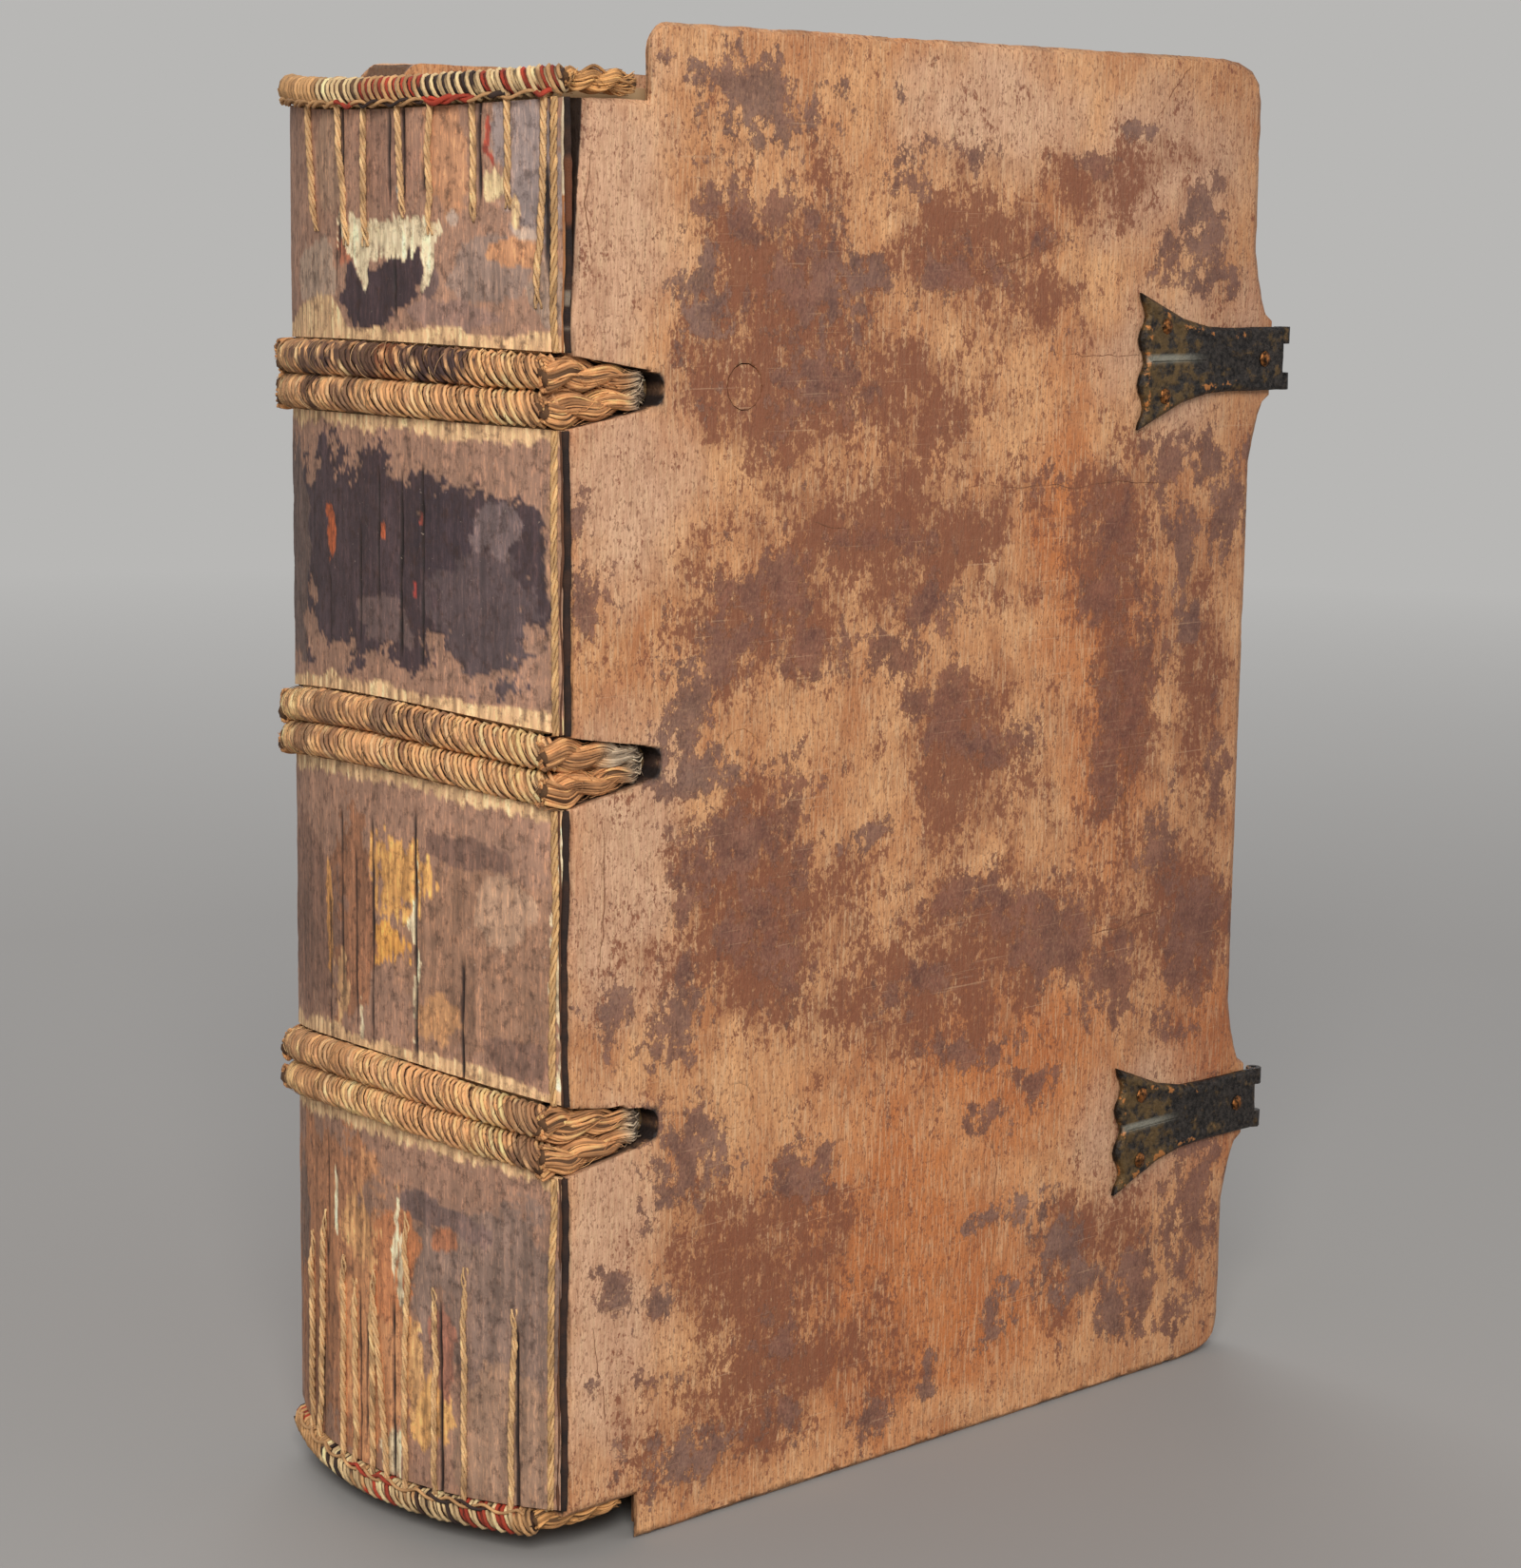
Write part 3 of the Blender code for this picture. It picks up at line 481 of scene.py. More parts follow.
# %% Marks on the wood
def patchwork(x, z, patches):
    """1 in the middle of a patch, 0 at its edge and below 0 outside, from places in metres."""
    best = np.full(len(x), -1.0)
    for centre_x, centre_z, reach_x, reach_z, *_ in patches:
        off = np.hypot((x / mm - centre_x) / reach_x, (z / mm - centre_z) / reach_z)
        best = np.maximum(best, 1 - off)
    return best


def patch_tone(x, z, patches):
    """The greyness of the nearest patches, from their last numbers."""
    total, weights = np.zeros(len(x)), np.full(len(x), 1e-6)
    for centre_x, centre_z, reach_x, reach_z, grey in patches:
        off = np.hypot((x / mm - centre_x) / reach_x, (z / mm - centre_z) / reach_z)
        weight = np.exp(-3 * off)
        total, weights = total + weight * grey, weights + weight
    return total / weights


def wood_marks(points, patches, film, warm, pale, seed):
    """The residue, film, warmth, pallor and greyness of a board's wood at its points, each from 0 to 1."""
    flat = points * (1, 0, 1)
    x = points[:, 0] - joint + 1.5 * mm * ragged(flat, 8 * mm, seed)
    z = points[:, 2] + 1.5 * mm * ragged(flat, 8 * mm, seed + 5)
    torn = ragged(flat, 4.5 * mm, seed + 9)
    dense = 0.85 * patchwork(x, z, patches) + 0.30 * torn - 0.06
    thin = patchwork(x, z, film) + 0.35 * ragged(flat, 7 * mm, seed + 14)
    return {
        "residue": np.clip(0.5 + 0.5 * dense, 0, 1),
        "film": ease(thin, -0.35, 0.75),
        "warmth": ease(patchwork(x, z, warm) + 0.2 * torn, -0.4, 0.7),
        "pallor": ease(patchwork(x, z, pale) + 0.2 * torn, -0.4, 0.6),
        "grey": np.clip(patch_tone(x, z, patches) + 0.15 * torn, 0, 1),
        "dim": ease(x / mm + 6 * torn, 70, 118),
    }


def front_marks(points):
    return wood_marks(points, front_residue, front_film, front_warmth, front_pallor, 1)


print("marks:", *front_marks(np.zeros((1, 3))))

# %% [markdown]
# The wood itself is a close-grained tan with the grain running up the board. The shader lays the tan
# first, then warm and pale zones, then fine grain and pores, and last the residue. The residue's edge is
# cut sharp after fine noise has been added to it, so that it breaks up into islands and specks.

# %% Wood finish
def wood_finish(name):
    wood = Recipe(name, 0.7)
    broad = wood.cloud(8 * mm, (1, 1, 1.6), 8, 0.66)
    tone = wood.mix(wood.step(broad, 0.36, 0.64), shade(194, 128, 80), shade(236, 178, 124))
    warm = wood.mix(broad, shade(172, 88, 38), shade(222, 138, 72))
    tone = wood.mix(wood.times(wood.mark("warmth"), 0.9), tone, warm)
    pale = wood.mix(broad, shade(202, 154, 122), shade(242, 204, 172))
    tone = wood.mix(wood.times(wood.mark("pallor"), 0.75), tone, pale)
    cloudy = wood.cloud(3.2 * mm, (1, 1, 1.3), 8, 0.7, 27.0)
    stained = wood.sum(wood.times(wood.mark("film"), 0.30), cloudy)
    tone = wood.coat(tone, shade(142, 88, 56), stained, 0.52, 0.80, 0.66)
    # Grain and pores
    fibre = wood.cloud(0.24 * mm, (1, 1, 9), 4, 0.65)
    tone = wood.coat(tone, shade(146, 90, 58), fibre, 0.40, 0.62, 0.40)
    bright = wood.cloud(0.32 * mm, (1, 1, 11), 4, 0.65, 3.5)
    tone = wood.coat(tone, shade(228, 190, 148), bright, 0.5, 0.66, 0.50)
    pores = wood.cloud(0.34 * mm, (1, 1, 1.7), 4, 0.6, 3.0)
    tone = wood.coat(tone, shade(124, 78, 52), pores, 0.55, 0.63, 0.60)
    # A thin film in flecks
    fleck = wood.cloud(0.62 * mm, (1, 1, 1.5), 6, 0.72, 15.0)
    patchy = wood.cloud(4.5 * mm, (1, 1, 1.2), 5, 0.6, 19.0)
    film = wood.sum(wood.times(wood.mark("film"), 0.20), wood.sum(fleck, wood.swing(patchy, 0.55)))
    tone = wood.coat(tone, wood.mix(fibre, shade(104, 56, 36), shade(152, 90, 60)), film, 0.60, 0.66, 0.85)
    # Residue, broken up at three sizes
    fine = wood.cloud(2.6 * mm, (1, 1, 1.2), 9, 0.74, 5.0)
    speck = wood.cloud(0.42 * mm, (1, 1, 1.3), 4, 0.62, 8.0)
    lace = wood.cloud(2.2 * mm, (1, 1, 1.5), 8, 0.74, 33.0)
    broken = wood.sum(wood.sum(wood.swing(fine, 1.7), wood.swing(speck, 0.7)), wood.swing(lace, 2.4))
    torn = wood.sum(wood.mark("residue"), broken)
    residue = wood.step(torn, 0.55, 0.585)
    age = wood.step(wood.cloud(5 * mm, (1, 1, 1), 7, 0.65, 11.0), 0.38, 0.62)
    ruddy = wood.mix(age, shade(104, 60, 46), shade(142, 86, 62))
    ashen = wood.mix(age, shade(92, 66, 60), shade(140, 106, 92))
    crust = wood.mix(wood.mark("grey"), ruddy, ashen)
    crust = wood.mix(wood.step(torn, 0.56, 0.74, 0.55, 0.0), crust, shade(160, 106, 76))
    crust = wood.coat(crust, shade(178, 134, 104), speck, 0.5, 0.72, 0.5)
    crust = wood.coat(crust, shade(82, 52, 42), pores, 0.53, 0.66, 0.5)
    tone = wood.mix(wood.times(residue, 0.9), tone, crust)
    # Scratches, the darker fore edge, and grime with painted shade in the joint gap, channels and notches
    scratch = wood.cloud(0.22 * mm, (60, 1, 1), 2, 0.5, 23.0)
    tone = wood.coat(tone, shade(214, 172, 134), scratch, 0.66, 0.74, 0.35)
    tone = wood.mix(wood.times(wood.mark("dim"), 0.36), tone, shade(96, 46, 28))
    tone = wood.mix(wood.mark("shade_and_grime"), tone, shade(30, 18, 14))
    height = wood.sum(wood.times(residue, 0.16), wood.times(fibre, 0.5))
    height = wood.sum(height, wood.sum(wood.times(speck, 0.5), wood.times(pores, -0.6)))
    rough = wood.step(speck, 0.2, 0.8, 0.5, 0.78)
    return wood.finish(tone, rough, wood.relief(height, 0.18 * mm))


front_wood = wood_finish("front_board_wood")
back_wood = wood_finish("back_board_wood")
print(len(front_wood.node_tree.nodes), "nodes in the wood's recipe")

# %% [markdown]
# ## The boards
#
# Each board is cut from its solid in the frame: a copy is sliced into small squares, so its notches,
# channels and bevels stay exact, and then its surface is worn. The edges lose more than the face does.

# %% How a board is worn
peg_place, peg_reach = 24.2 * mm, 3.4 * mm
board_steps = ((1, 0.45 * mm), (0, 0.62 * mm), (2, 0.62 * mm))


def worn_board(node, name, body, side, finish, marks, seed):
    """A fine copy of a board, with its faces and edges worn. The side is -1 for the front board."""
    board = fine_copy(node, name, board_steps, lambda face, axis: axis == 1 or face.normal.y * side > -0.5)
    points, normals = surface_of(board)
    values = marks(points)
    spine_side = (normals[:, 0] < -0.85) & (points[:, 0] < joint + 3 * mm)
    notch_end = (normals[:, 0] < -0.3) & (points[:, 0] > joint + 7.5 * mm) & (points[:, 0] < joint + 15 * mm)
    edge = 1 - np.abs(normals[:, 1]) ** 4
    # Grime along every edge, and painted shade, near black, on the spine edge in the joint gap
    shade_and_grime = 0.45 * edge * ease(ragged(points, 4 * mm, seed + 12), -0.8, 0.8)
    shade_and_grime = np.maximum(shade_and_grime, 0.97 * spine_side * ease(ragged(points, 4 * mm, seed + 12), -2.4, -0.4))
    across, depth = (points[:, 0] - joint) / mm, (half_thick - points[:, 1] * side) / mm
    # Painted shade round the lacing holes and on the walls of the slip channels at each band
    for height in band_heights:
        off = np.abs(points[:, 2] - height) / mm
        slot = ease(across, 10.6, 11.2) * ease(-across, -13.0, -12.6) * ease(-off, -2.0, -1.6)
        walls = ease(depth, 0.25, 0.9) * (across < 13.2) * (off < 5) * (depth < 4.4) * (across > 0.2)
        shade_and_grime = np.maximum(shade_and_grime, np.maximum(slot, 0.85 * walls))
    # Painted shade on the end walls of the notches and channels that face the spine
    values["shade_and_grime"] = np.maximum(shade_and_grime, 0.8 * notch_end * (depth > 0.6) * (depth < 4.2))
    for height in band_heights:
        edge *= np.hypot(points[:, 0] - joint - peg_place, points[:, 2] - height) > peg_reach
    flat = points * (1, 0.3, 1)
    rise = 0.03 * mm * ragged(points, (0.9 * mm, 3 * mm, 18 * mm), seed)
    rise += 0.06 * mm * ragged(flat, 16 * mm, seed + 3)
    rise += 0.05 * mm * ease(values["residue"], 0.40, 0.70) * (1 - edge)
    rise -= edge * (0.16 * mm * np.abs(ragged(points, 5 * mm, seed + 6)))
    rise -= edge * 0.7 * mm * ease(ragged(points, 3.0 * mm, seed + 9), 0.8, 1.7)
    move_points(board, points + normals * rise[:, None])
    board.data.materials.append(finish)
    smooth(board, 40)
    return carry(board, body, [node], values)


print("a board is cut at least every", max(step for _, step in board_steps) / mm, "mm")

# %% [markdown]
# The front board's patches follow the photograph. The back board isn't seen there, so its patches are
# strewn by chance, in the same sizes and tones.

# %% The two boards
front_board = worn_board("front_board", "front_board_worn", "front_cover", -1, front_wood, front_marks, 21)


def strewn(count, reaches):
    """Patches whose numbers are drawn by chance, each from its own reach."""
    return [[chance.uniform(*reach) for reach in reaches] for _ in range(count)]


back_residue = strewn(105, ((2, 110), (3, 160), (2.5, 7.5), (2, 6), (0, 1)))
back_film = strewn(16, ((10, 100), (10, 150), (10, 24), (8, 16)))
back_warmth = ((60, 40, 20, 25), (80, 110, 15, 30), (30, 120, 12, 20))
back_pallor = ((6, 100, 7, 30), (50, 158, 20, 6), (100, 20, 12, 15))


def back_marks(points):
    return wood_marks(points, back_residue, back_film, back_warmth, back_pallor, 31)


back_board = worn_board("back_board", "back_board_worn", "back_cover", 1, back_wood, back_marks, 51)
for board in (front_board, back_board):
    print(board.name, len(board.data.vertices), "points", len(board.data.polygons), "faces")

# %% [markdown]
# Old boards crack along the grain and get scratched across it. A crack is too thin for the sliced copy,
# so its dark brown line is made as a thin wedge of its own, which lies in the board's face.

# %% Cracks
# Cracks and scratches: start across and up, end across and up (mm), thickness (mm)
cracks = (
    (96, 163.6, 90, 157.5, 0.10), (90, 157.5, 91.5, 151, 0.06), (58, 115.2, 95, 114.2, 0.04),
    (72, 129.9, 88, 129.2, 0.04), (40, 96.5, 52, 101, 0.05), (60, 139, 76, 143.5, 0.05),
    (30, 113, 41, 110.5, 0.05), (77, 58, 95, 60.5, 0.05), (2, 151, 2.5, 140, 0.06), (5, 82, 4.5, 66, 0.06),
    (4, 26, 5.5, 12, 0.06), (66, 18, 66.5, 40, 0.05), (88, 66, 88.3, 84, 0.05),
)


def crack_mesh(steps=40):
    """A row of thin wedges that lie in the board's face: the dark brown lines of its cracks and scratches."""
    points, faces = [], []
    for order, (x0, z0, x1, z1, thick) in enumerate(cracks):
        part = np.linspace(0, 1, steps)
        line = as_points(x0 + (x1 - x0) * part, 0, z0 + (z1 - z0) * part) * mm
        across = np.array((z0 - z1, 0, x1 - x0)) / math.hypot(x1 - x0, z1 - z0)
        line = line + across * (0.5 * mm * ragged(line, 6 * mm, 140 + order))[:, None] + (joint, 0, 0)
        width = thick * mm * np.sin(np.pi * part) * (1 + 0.5 * swells(line, 1.2 * mm, 160 + order))
        proud = half_thick + 0.05 * mm + 0.05 * mm * swells(line, 2 * mm, 170 + order)
        for aside, out in ((1, 0), (0, 1), (-1, 0), (0, -3)):
            depth = np.outer(-(proud + out * 0.02 * mm), (0, 1, 0))
            points.append(line + across * (aside * width)[:, None] + depth)
        for i, j in itertools.product(range(steps - 1), range(4)):
            one, other = (steps * (4 * order + k) + i for k in (j, (j + 1) % 4))
            faces.append((one, other, other + 1, one + 1))
    return np.concatenate(points), faces


darkener = Recipe("crack_dark_lines", 0.9)
darkener.finish(darkener.mix(darkener.cloud(0.6 * mm), shade(88, 52, 34), shade(150, 100, 70)))
crack_lines = mesh_object("front_board_cracks", *crack_mesh(), darkener.material)
carry(crack_lines, "front_cover")
print(len(cracks), "cracks and scratches")

# %% [markdown]
# The pegs that wedge the cords end flush with the board and wear the same wood and residue. Only the
# peg of the head band shows a ring round it. The others are so well bedded that their gaps are closed.

# %% Pegs
for name, side, finish, marks in (("front", -1, front_wood, front_marks), ("back", 1, back_wood, back_marks)):
    for band, height in enumerate(band_heights, start=1):
        node = f"{name}_peg_{band}"
        peg = fine_copy(node, f"{name}_peg_{band}_worn", ((0, 0.6 * mm), (2, 0.6 * mm)))
        points, _ = surface_of(peg)
        axis = np.array((joint + peg_place, 0, height))
        spread = 1.03 if (name, band) == ("front", 1) else 1.085  # 1.085 closes the gap round the peg
        moved = (points - axis) * (spread, 1, spread) + axis
        moved[:, 1] -= side * 0.05 * mm
        move_points(peg, moved)
        peg.data.materials.append(finish)
        values = marks(moved)
        values["shade_and_grime"] = 0 * values["film"]
        carry(smooth(peg, 40), f"{name}_cover", [node], values)
print("6 pegs")

# %% [markdown]
# ## The spine's grid
#
# The spine is an arc. Everything on it is placed by its share of the way round, 0 at the front joint and
# 1 at the back joint, by its height, and by how far it stands out from the arc.

# %% Places on the spine
def spine_angle(share):
    return (2 * np.asarray(share, float) - 1) * spine_half_angle


def outward(angle):
    angle = np.asarray(angle, float)
    return np.stack([-np.cos(angle), np.sin(angle), np.zeros_like(angle)], axis=-1)


def on_spine(share, out, z):
    """Points on the spine, in the row frame."""
    angle = spine_angle(share)
    radius = spine_radius + np.asarray(out, float) + 0 * angle
    x = joint + spine_centre - radius * np.cos(angle)
    return np.stack([x, radius * np.sin(angle), np.asarray(z, float) + 0 * angle], axis=-1)


def bow(share, rise):
    return rise * np.sin(np.pi * np.asarray(share, float))


def panel_edges(panel, share):
    """The lower and upper edge of one spine panel at this share, panel 0 at the head."""
    reach = cord_spacing / 2 + cord_radius + 0.3 * mm
    top_of = lambda band: band_heights[band] + bow(share, band_rises[band]) - reach
    foot_of = lambda band: band_heights[band] + bow(share, band_rises[band]) + reach
    end = endband_radius + 0.3 * mm
    head_height, head_sag, _ = endbands["headband"]
    tail_height, tail_sag, _ = endbands["tailband"]
    low = foot_of(panel) if panel < 3 else tail_height + bow(share, -tail_sag) + end
    high = top_of(panel - 1) if panel > 0 else head_height + bow(share, -head_sag) - end
    return low, high


for panel in range(4):
    print("panel", panel + 1, "from", *[f"{float(edge) / mm:.1f}" for edge in panel_edges(panel, 0.5)], "mm")

# %% [markdown]
# ## Spine linings
#
# Between the bands the spine still wears parchment, glue and the dried flesh side of its leather. Each
# panel is a thin sheet made as a fine grid. Its colour is laid on like paint, one patch over another,
# and the same patches raise the leather, sink the slits and leave a comb of pale fibres by each band.

# %% What lies on the four linings
leather_brown = (164, 126, 104)
cream, comb_tan, rust, ochre = (238, 214, 174), (228, 184, 138), (170, 88, 56), (224, 156, 80)
dark_skin, pale_grey, slit_shade = (70, 54, 56), (166, 140, 120), (30, 20, 17)
# Each patch: share round the spine, height, reach in share, reach in height (mm), colour, leather height
panel_patches = (
    (
        (0.08, 150, 0.09, 9, (152, 134, 128), 0), (0.27, 151, 0.06, 8, (184, 134, 100), 0),
        (0.45, 150, 0.10, 6, (156, 118, 98), 0), (0.66, 151, 0.06, 8, (164, 130, 106), 0),
        (0.42, 138, 0.07, 3.2, dark_skin, 0.6), (0.50, 136, 0.09, 3.6, dark_skin, 0.6),
        (0.31, 137.3, 0.02, 1.2, (110, 88, 82), 0.5), (0.17, 139, 0.08, 3.4, (150, 124, 110), 0.2),
        (0.12, 140.8, 0.05, 1.4, (190, 136, 98), 0.3), (0.05, 137, 0.05, 4, (164, 138, 120), 0.1),
        (0.26, 134.6, 0.12, 1.5, (150, 118, 104), 0.2), (0.74, 138.6, 0.10, 3.6, pale_grey, 0.3),
        (0.59, 141.5, 0.04, 1.8, (168, 106, 80), 0), (0.46, 142.6, 0.15, 2.0, cream, -0.7),
        (0.525, 140.2, 0.018, 3, cream, -0.7), (0.33, 139.9, 0.014, 3.2, cream, -0.7),
        (0.165, 148.4, 0.024, 1.7, (222, 192, 146), -0.5), (0.13, 145.5, 0.012, 3, (214, 178, 134), -0.3),
        (0.165, 152.5, 0.006, 3.2, (158, 70, 54), 0), (0.40, 147, 0.008, 0.9, (220, 206, 188), 0),
        (0.27, 143.8, 0.02, 0.8, (184, 158, 140), 0), (0.11, 142.8, 0.03, 1.2, (190, 164, 146), 0),
    ),
    (
        (0.50, 109, 0.60, 11.2, dark_skin, 0.6), (0.20, 104, 0.12, 8, (88, 72, 72), 0.6),
        (0.62, 108, 0.26, 10.5, (74, 58, 60), 0.6), (0.30, 112, 0.10, 5, (66, 52, 56), 0.6),
        (0.90, 108, 0.12, 12, (104, 84, 76), 0.4), (0.66, 110.5, 0.022, 3.2, (168, 88, 52), -0.3),
        (0.35, 113, 0.008, 1.2, (176, 78, 60), 0), (0.36, 105, 0.006, 1.2, (160, 68, 60), 0),
        (0.45, 112, 0.008, 1.0, rust, 0), (0.15, 113, 0.05, 3, (112, 94, 92), 0.6),
        (0.45, 102, 0.08, 2, (104, 84, 80), 0.6), (0.02, 108, 0.035, 13, (164, 126, 100), 0),
    ),
    (
        (0.20, 66, 0.22, 12, (156, 118, 94), 0.2), (0.42, 74, 0.10, 4.5, (226, 164, 96), -0.2),
        (0.48, 66.5, 0.10, 2.0, ochre, -0.2), (0.30, 60, 0.07, 3, (196, 144, 100), 0),
        (0.14, 72, 0.07, 4, (176, 140, 114), 0.2), (0.36, 65, 0.008, 10, cream, -0.5),
        (0.54, 56, 0.008, 4, cream, -0.4), (0.60, 68, 0.10, 12, (150, 104, 76), 0.1),
        (0.62, 60, 0.04, 4, (206, 158, 112), -0.2), (0.82, 66, 0.2, 12, (134, 100, 82), 0.2),
        (0.01, 66, 0.016, 14, cream, -0.3), (0.68, 66, 0.02, 8, (200, 142, 84), 0),
        (0.22, 78, 0.10, 2.5, (124, 94, 80), 0.3), (0.12, 56, 0.08, 2.5, (132, 100, 84), 0.3),
    ),
    (
        (0.72, 24, 0.30, 22, (170, 118, 84), 0.1), (0.50, 24, 0.14, 18, (196, 138, 96), 0),
        (0.15, 28, 0.20, 13, (138, 112, 98), 0.3), (0.12, 12, 0.14, 9, (156, 124, 102), 0.2),
        (0.34, 31, 0.08, 6, (142, 116, 102), 0.4), (0.33, 37, 0.12, 2.5, (120, 96, 88), 0.4),
        (0.30, 34, 0.04, 1.8, (164, 108, 78), 0), (0.44, 31, 0.09, 7, (186, 122, 82), 0),
        (0.56, 33, 0.07, 4, (210, 154, 104), -0.1), (0.43, 34, 0.008, 4.5, cream, -0.5),
        (0.41, 29, 0.010, 5, cream, -0.5), (0.66, 35, 0.008, 4, cream, -0.3), (0.44, 8.5, 0.035, 3, cream, -0.4),
        (0.33, 14, 0.05, 6, (222, 166, 104), -0.1), (0.38, 20, 0.03, 6, (212, 160, 108), -0.1),
        (0.29, 22, 0.03, 6, (158, 108, 88), 0), (0.80, 12, 0.12, 7, (150, 108, 82), 0.1),
        (0.90, 30, 0.06, 8, (128, 100, 84), 0.2),
    ),
)
# Each slit: share round the spine, lowest and highest place (mm)
panel_slits = (
    (
        (0.432, 146, 156), (0.597, 145, 157), (0.610, 140, 145), (0.622, 137, 141), (0.415, 134, 141),
        (0.335, 147, 150), (0.05, 140, 150),
    ),
    ((0.34, 97, 119), (0.40, 98, 118), (0.535, 99, 112), (0.66, 99, 106), (0.47, 104, 118)),
    ((0.50, 55, 80), (0.68, 55, 70), (0.365, 54, 82), (0.56, 56, 76), (0.62, 60, 80), (0.24, 52, 66)),
    ((0.70, 28, 42), (0.71, 20, 30), (0.53, 8, 22), (0.90, 8, 30)),
)
print("patches:", *map(len, panel_patches), "slits:", *map(len, panel_slits))

# %% [markdown]
# A patch has a ragged edge where leather was scraped away, and a fibrous one where parchment tore. Next
# to a band the thread has left a comb of pale fibres. The slits are painted near black, as painted shade in
# the cut, and beside every other tie-down such a slit is the tie-down's painted shadow.

# %% Painting a panel
arc_mm = 52.9


def paint_over(under, over, weight):
    """One colour laid over another with a weight at each point."""
    return np.asarray(under, float) * (1 - weight)[:, None] + np.asarray(over, float) * weight[:, None]


def paint_panel(panel, share, z, low, high):
    """The colour and the height of one lining at its grid points."""
    flat, column = as_points(share * arc_mm * mm, z), as_points(share * arc_mm * mm)
    seed = 70 + 10 * panel
    rough = ragged(flat, 4 * mm, seed, 5, 0.7)
    streaks = ragged(flat, (0.7 * mm, 12 * mm, mm), seed + 3, 3)
    fibres = swells(flat, (0.35 * mm, 4 * mm, mm), seed + 6)
    fibres = fibres + 0.6 * swells(flat, (0.5 * mm, 0.9 * mm, mm), seed + 13)
    drift = 0.014 * ragged(flat, 5 * mm, seed + 20), 0.9 * ragged(flat, 5 * mm, seed + 26)
    colour = np.tile(np.array(leather_brown, float), (len(share), 1))
    colour *= (1 + 0.06 * rough + 0.09 * streaks)[:, None]
    height = np.zeros(len(share))
    for centre, centre_z, reach, reach_z, tint, raised in panel_patches[panel]:
        off = np.hypot((share + drift[0] - centre) / reach, (z / mm + drift[1] - centre_z) / reach_z)
        torn = fibres * (raised < 0)
        inside = 1 - off + (0.26 + 0.08 * (raised > 0.5)) * rough + 0.05 * streaks + 0.28 * torn
        weight = ease(inside, 0.0, 0.07 + 0.1 * (raised == 0))
        grade = (1 + 0.08 * rough + 0.13 * streaks + 0.20 * torn - 0.04 * (raised < 0))[:, None]
        colour = paint_over(colour, np.array(tint, float) * grade, weight)
        height = height * (1 - weight) + 0.12 * mm * raised * weight
    # The comb of fibres, along each edge that lies at a band
    for edge, sign, line in ((low, 1, 0), (high, -1, 1)):
        if (panel, line) in ((0, 1), (3, 0)):
            continue
        teeth = 1.5 * mm + 0.7 * mm * swells(column, 3.5 * mm, seed + 7 + line)
        teeth = teeth + 0.5 * mm * swells(column, 0.45 * mm, seed + 9 + line)
        if panel == 0:
            teeth = teeth + 3.4 * mm * ease(share, 0.57, 0.66) * ease(-share, -1.0, -0.68)
        weight = ease(teeth - sign * (z - edge), -0.05 * mm, 0.15 * mm)
        comb = np.array(comb_tan, float) * (0.98 + 0.30 * swells(flat, (0.33 * mm, 5 * mm, mm), seed + 11))[:, None]
        colour = paint_over(colour, comb, weight)
        ridge = 0.07 * mm * swells(flat, (0.35 * mm, 6 * mm, mm), seed + 12)
        height = height * (1 - weight) + (ridge - 0.02 * mm) * weight
    slits = list(panel_slits[panel])
    if panel in (0, 3):
        endband = "headband" if panel == 0 else "tailband"
        start_z, _, reach = endbands[endband]
        # Beside every other tie-down a slit on its front side is the tie-down's painted shadow
        for place, length in tie_downs[endband][::2]:
            ends = sorted((start_z / mm, (start_z + 0.92 * length) / mm))
            slits.append((0.5 + (place * 2 - 1) * reach / 2 - 0.013, *ends))
    for place, start, stop in slits:
        wander = 0.003 * swells(as_points(0 * z, z), 5 * mm, seed + place * 40)
        near = np.abs(share - place - wander) * arc_mm + 0.12 * swells(flat, 2.5 * mm, seed + 15)
        along = ease(z / mm, start - 1, start + 2) * (1 - ease(z / mm, stop - 2, stop + 1))
        weight = (1 - ease(near, 0.08, 0.30)) * along
        # Each slit is painted near black: painted shade in the cut
        colour = paint_over(colour, slit_shade, weight)
        height = height - 0.26 * mm * weight
    height += 0.035 * mm * rough + 0.02 * mm * streaks
    return linear(np.clip(colour, 0, 255)), np.clip(height, -0.36 * mm, 0.08 * mm)


print("the arc of the spine is", arc_mm, "mm long")

# %% [markdown]
# Each lining is a sheet with a fine front, a plain back and closed edges. The paint is kept as a colour
# at each point, and the shader adds fibres, mottling and pale specks that are finer than the grid.

# %% Four lining sheets
def lining_finish():
    skin = Recipe("spine_lining_skin", 0.8)
    fibre = skin.cloud(0.25 * mm, (1, 1, 6), 3, 0.6)
    mottle = skin.cloud(1.1 * mm, (1, 1, 1.3), 7, 0.72, 4.0)
    tone = skin.coat(skin.mark("paint", "Color"), shade(60, 42, 36), mottle, 0.50, 0.64, 0.60)
    tone = skin.coat(tone, shade(250, 238, 226), fibre, 0.50, 0.66, 0.60, "OVERLAY")
    speck = skin.cloud(0.5 * mm, (1, 1, 1), 4, 0.6, 9.0)
    tone = skin.coat(tone, shade(190, 166, 148), speck, 0.68, 0.74, 0.5)
    rough = skin.step(mottle, 0.3, 0.7, 0.6, 0.9)
    height = skin.sum(skin.times(fibre, 0.4), skin.times(mottle, 0.6))
    return skin.finish(tone, rough, skin.relief(height, 0.14 * mm))


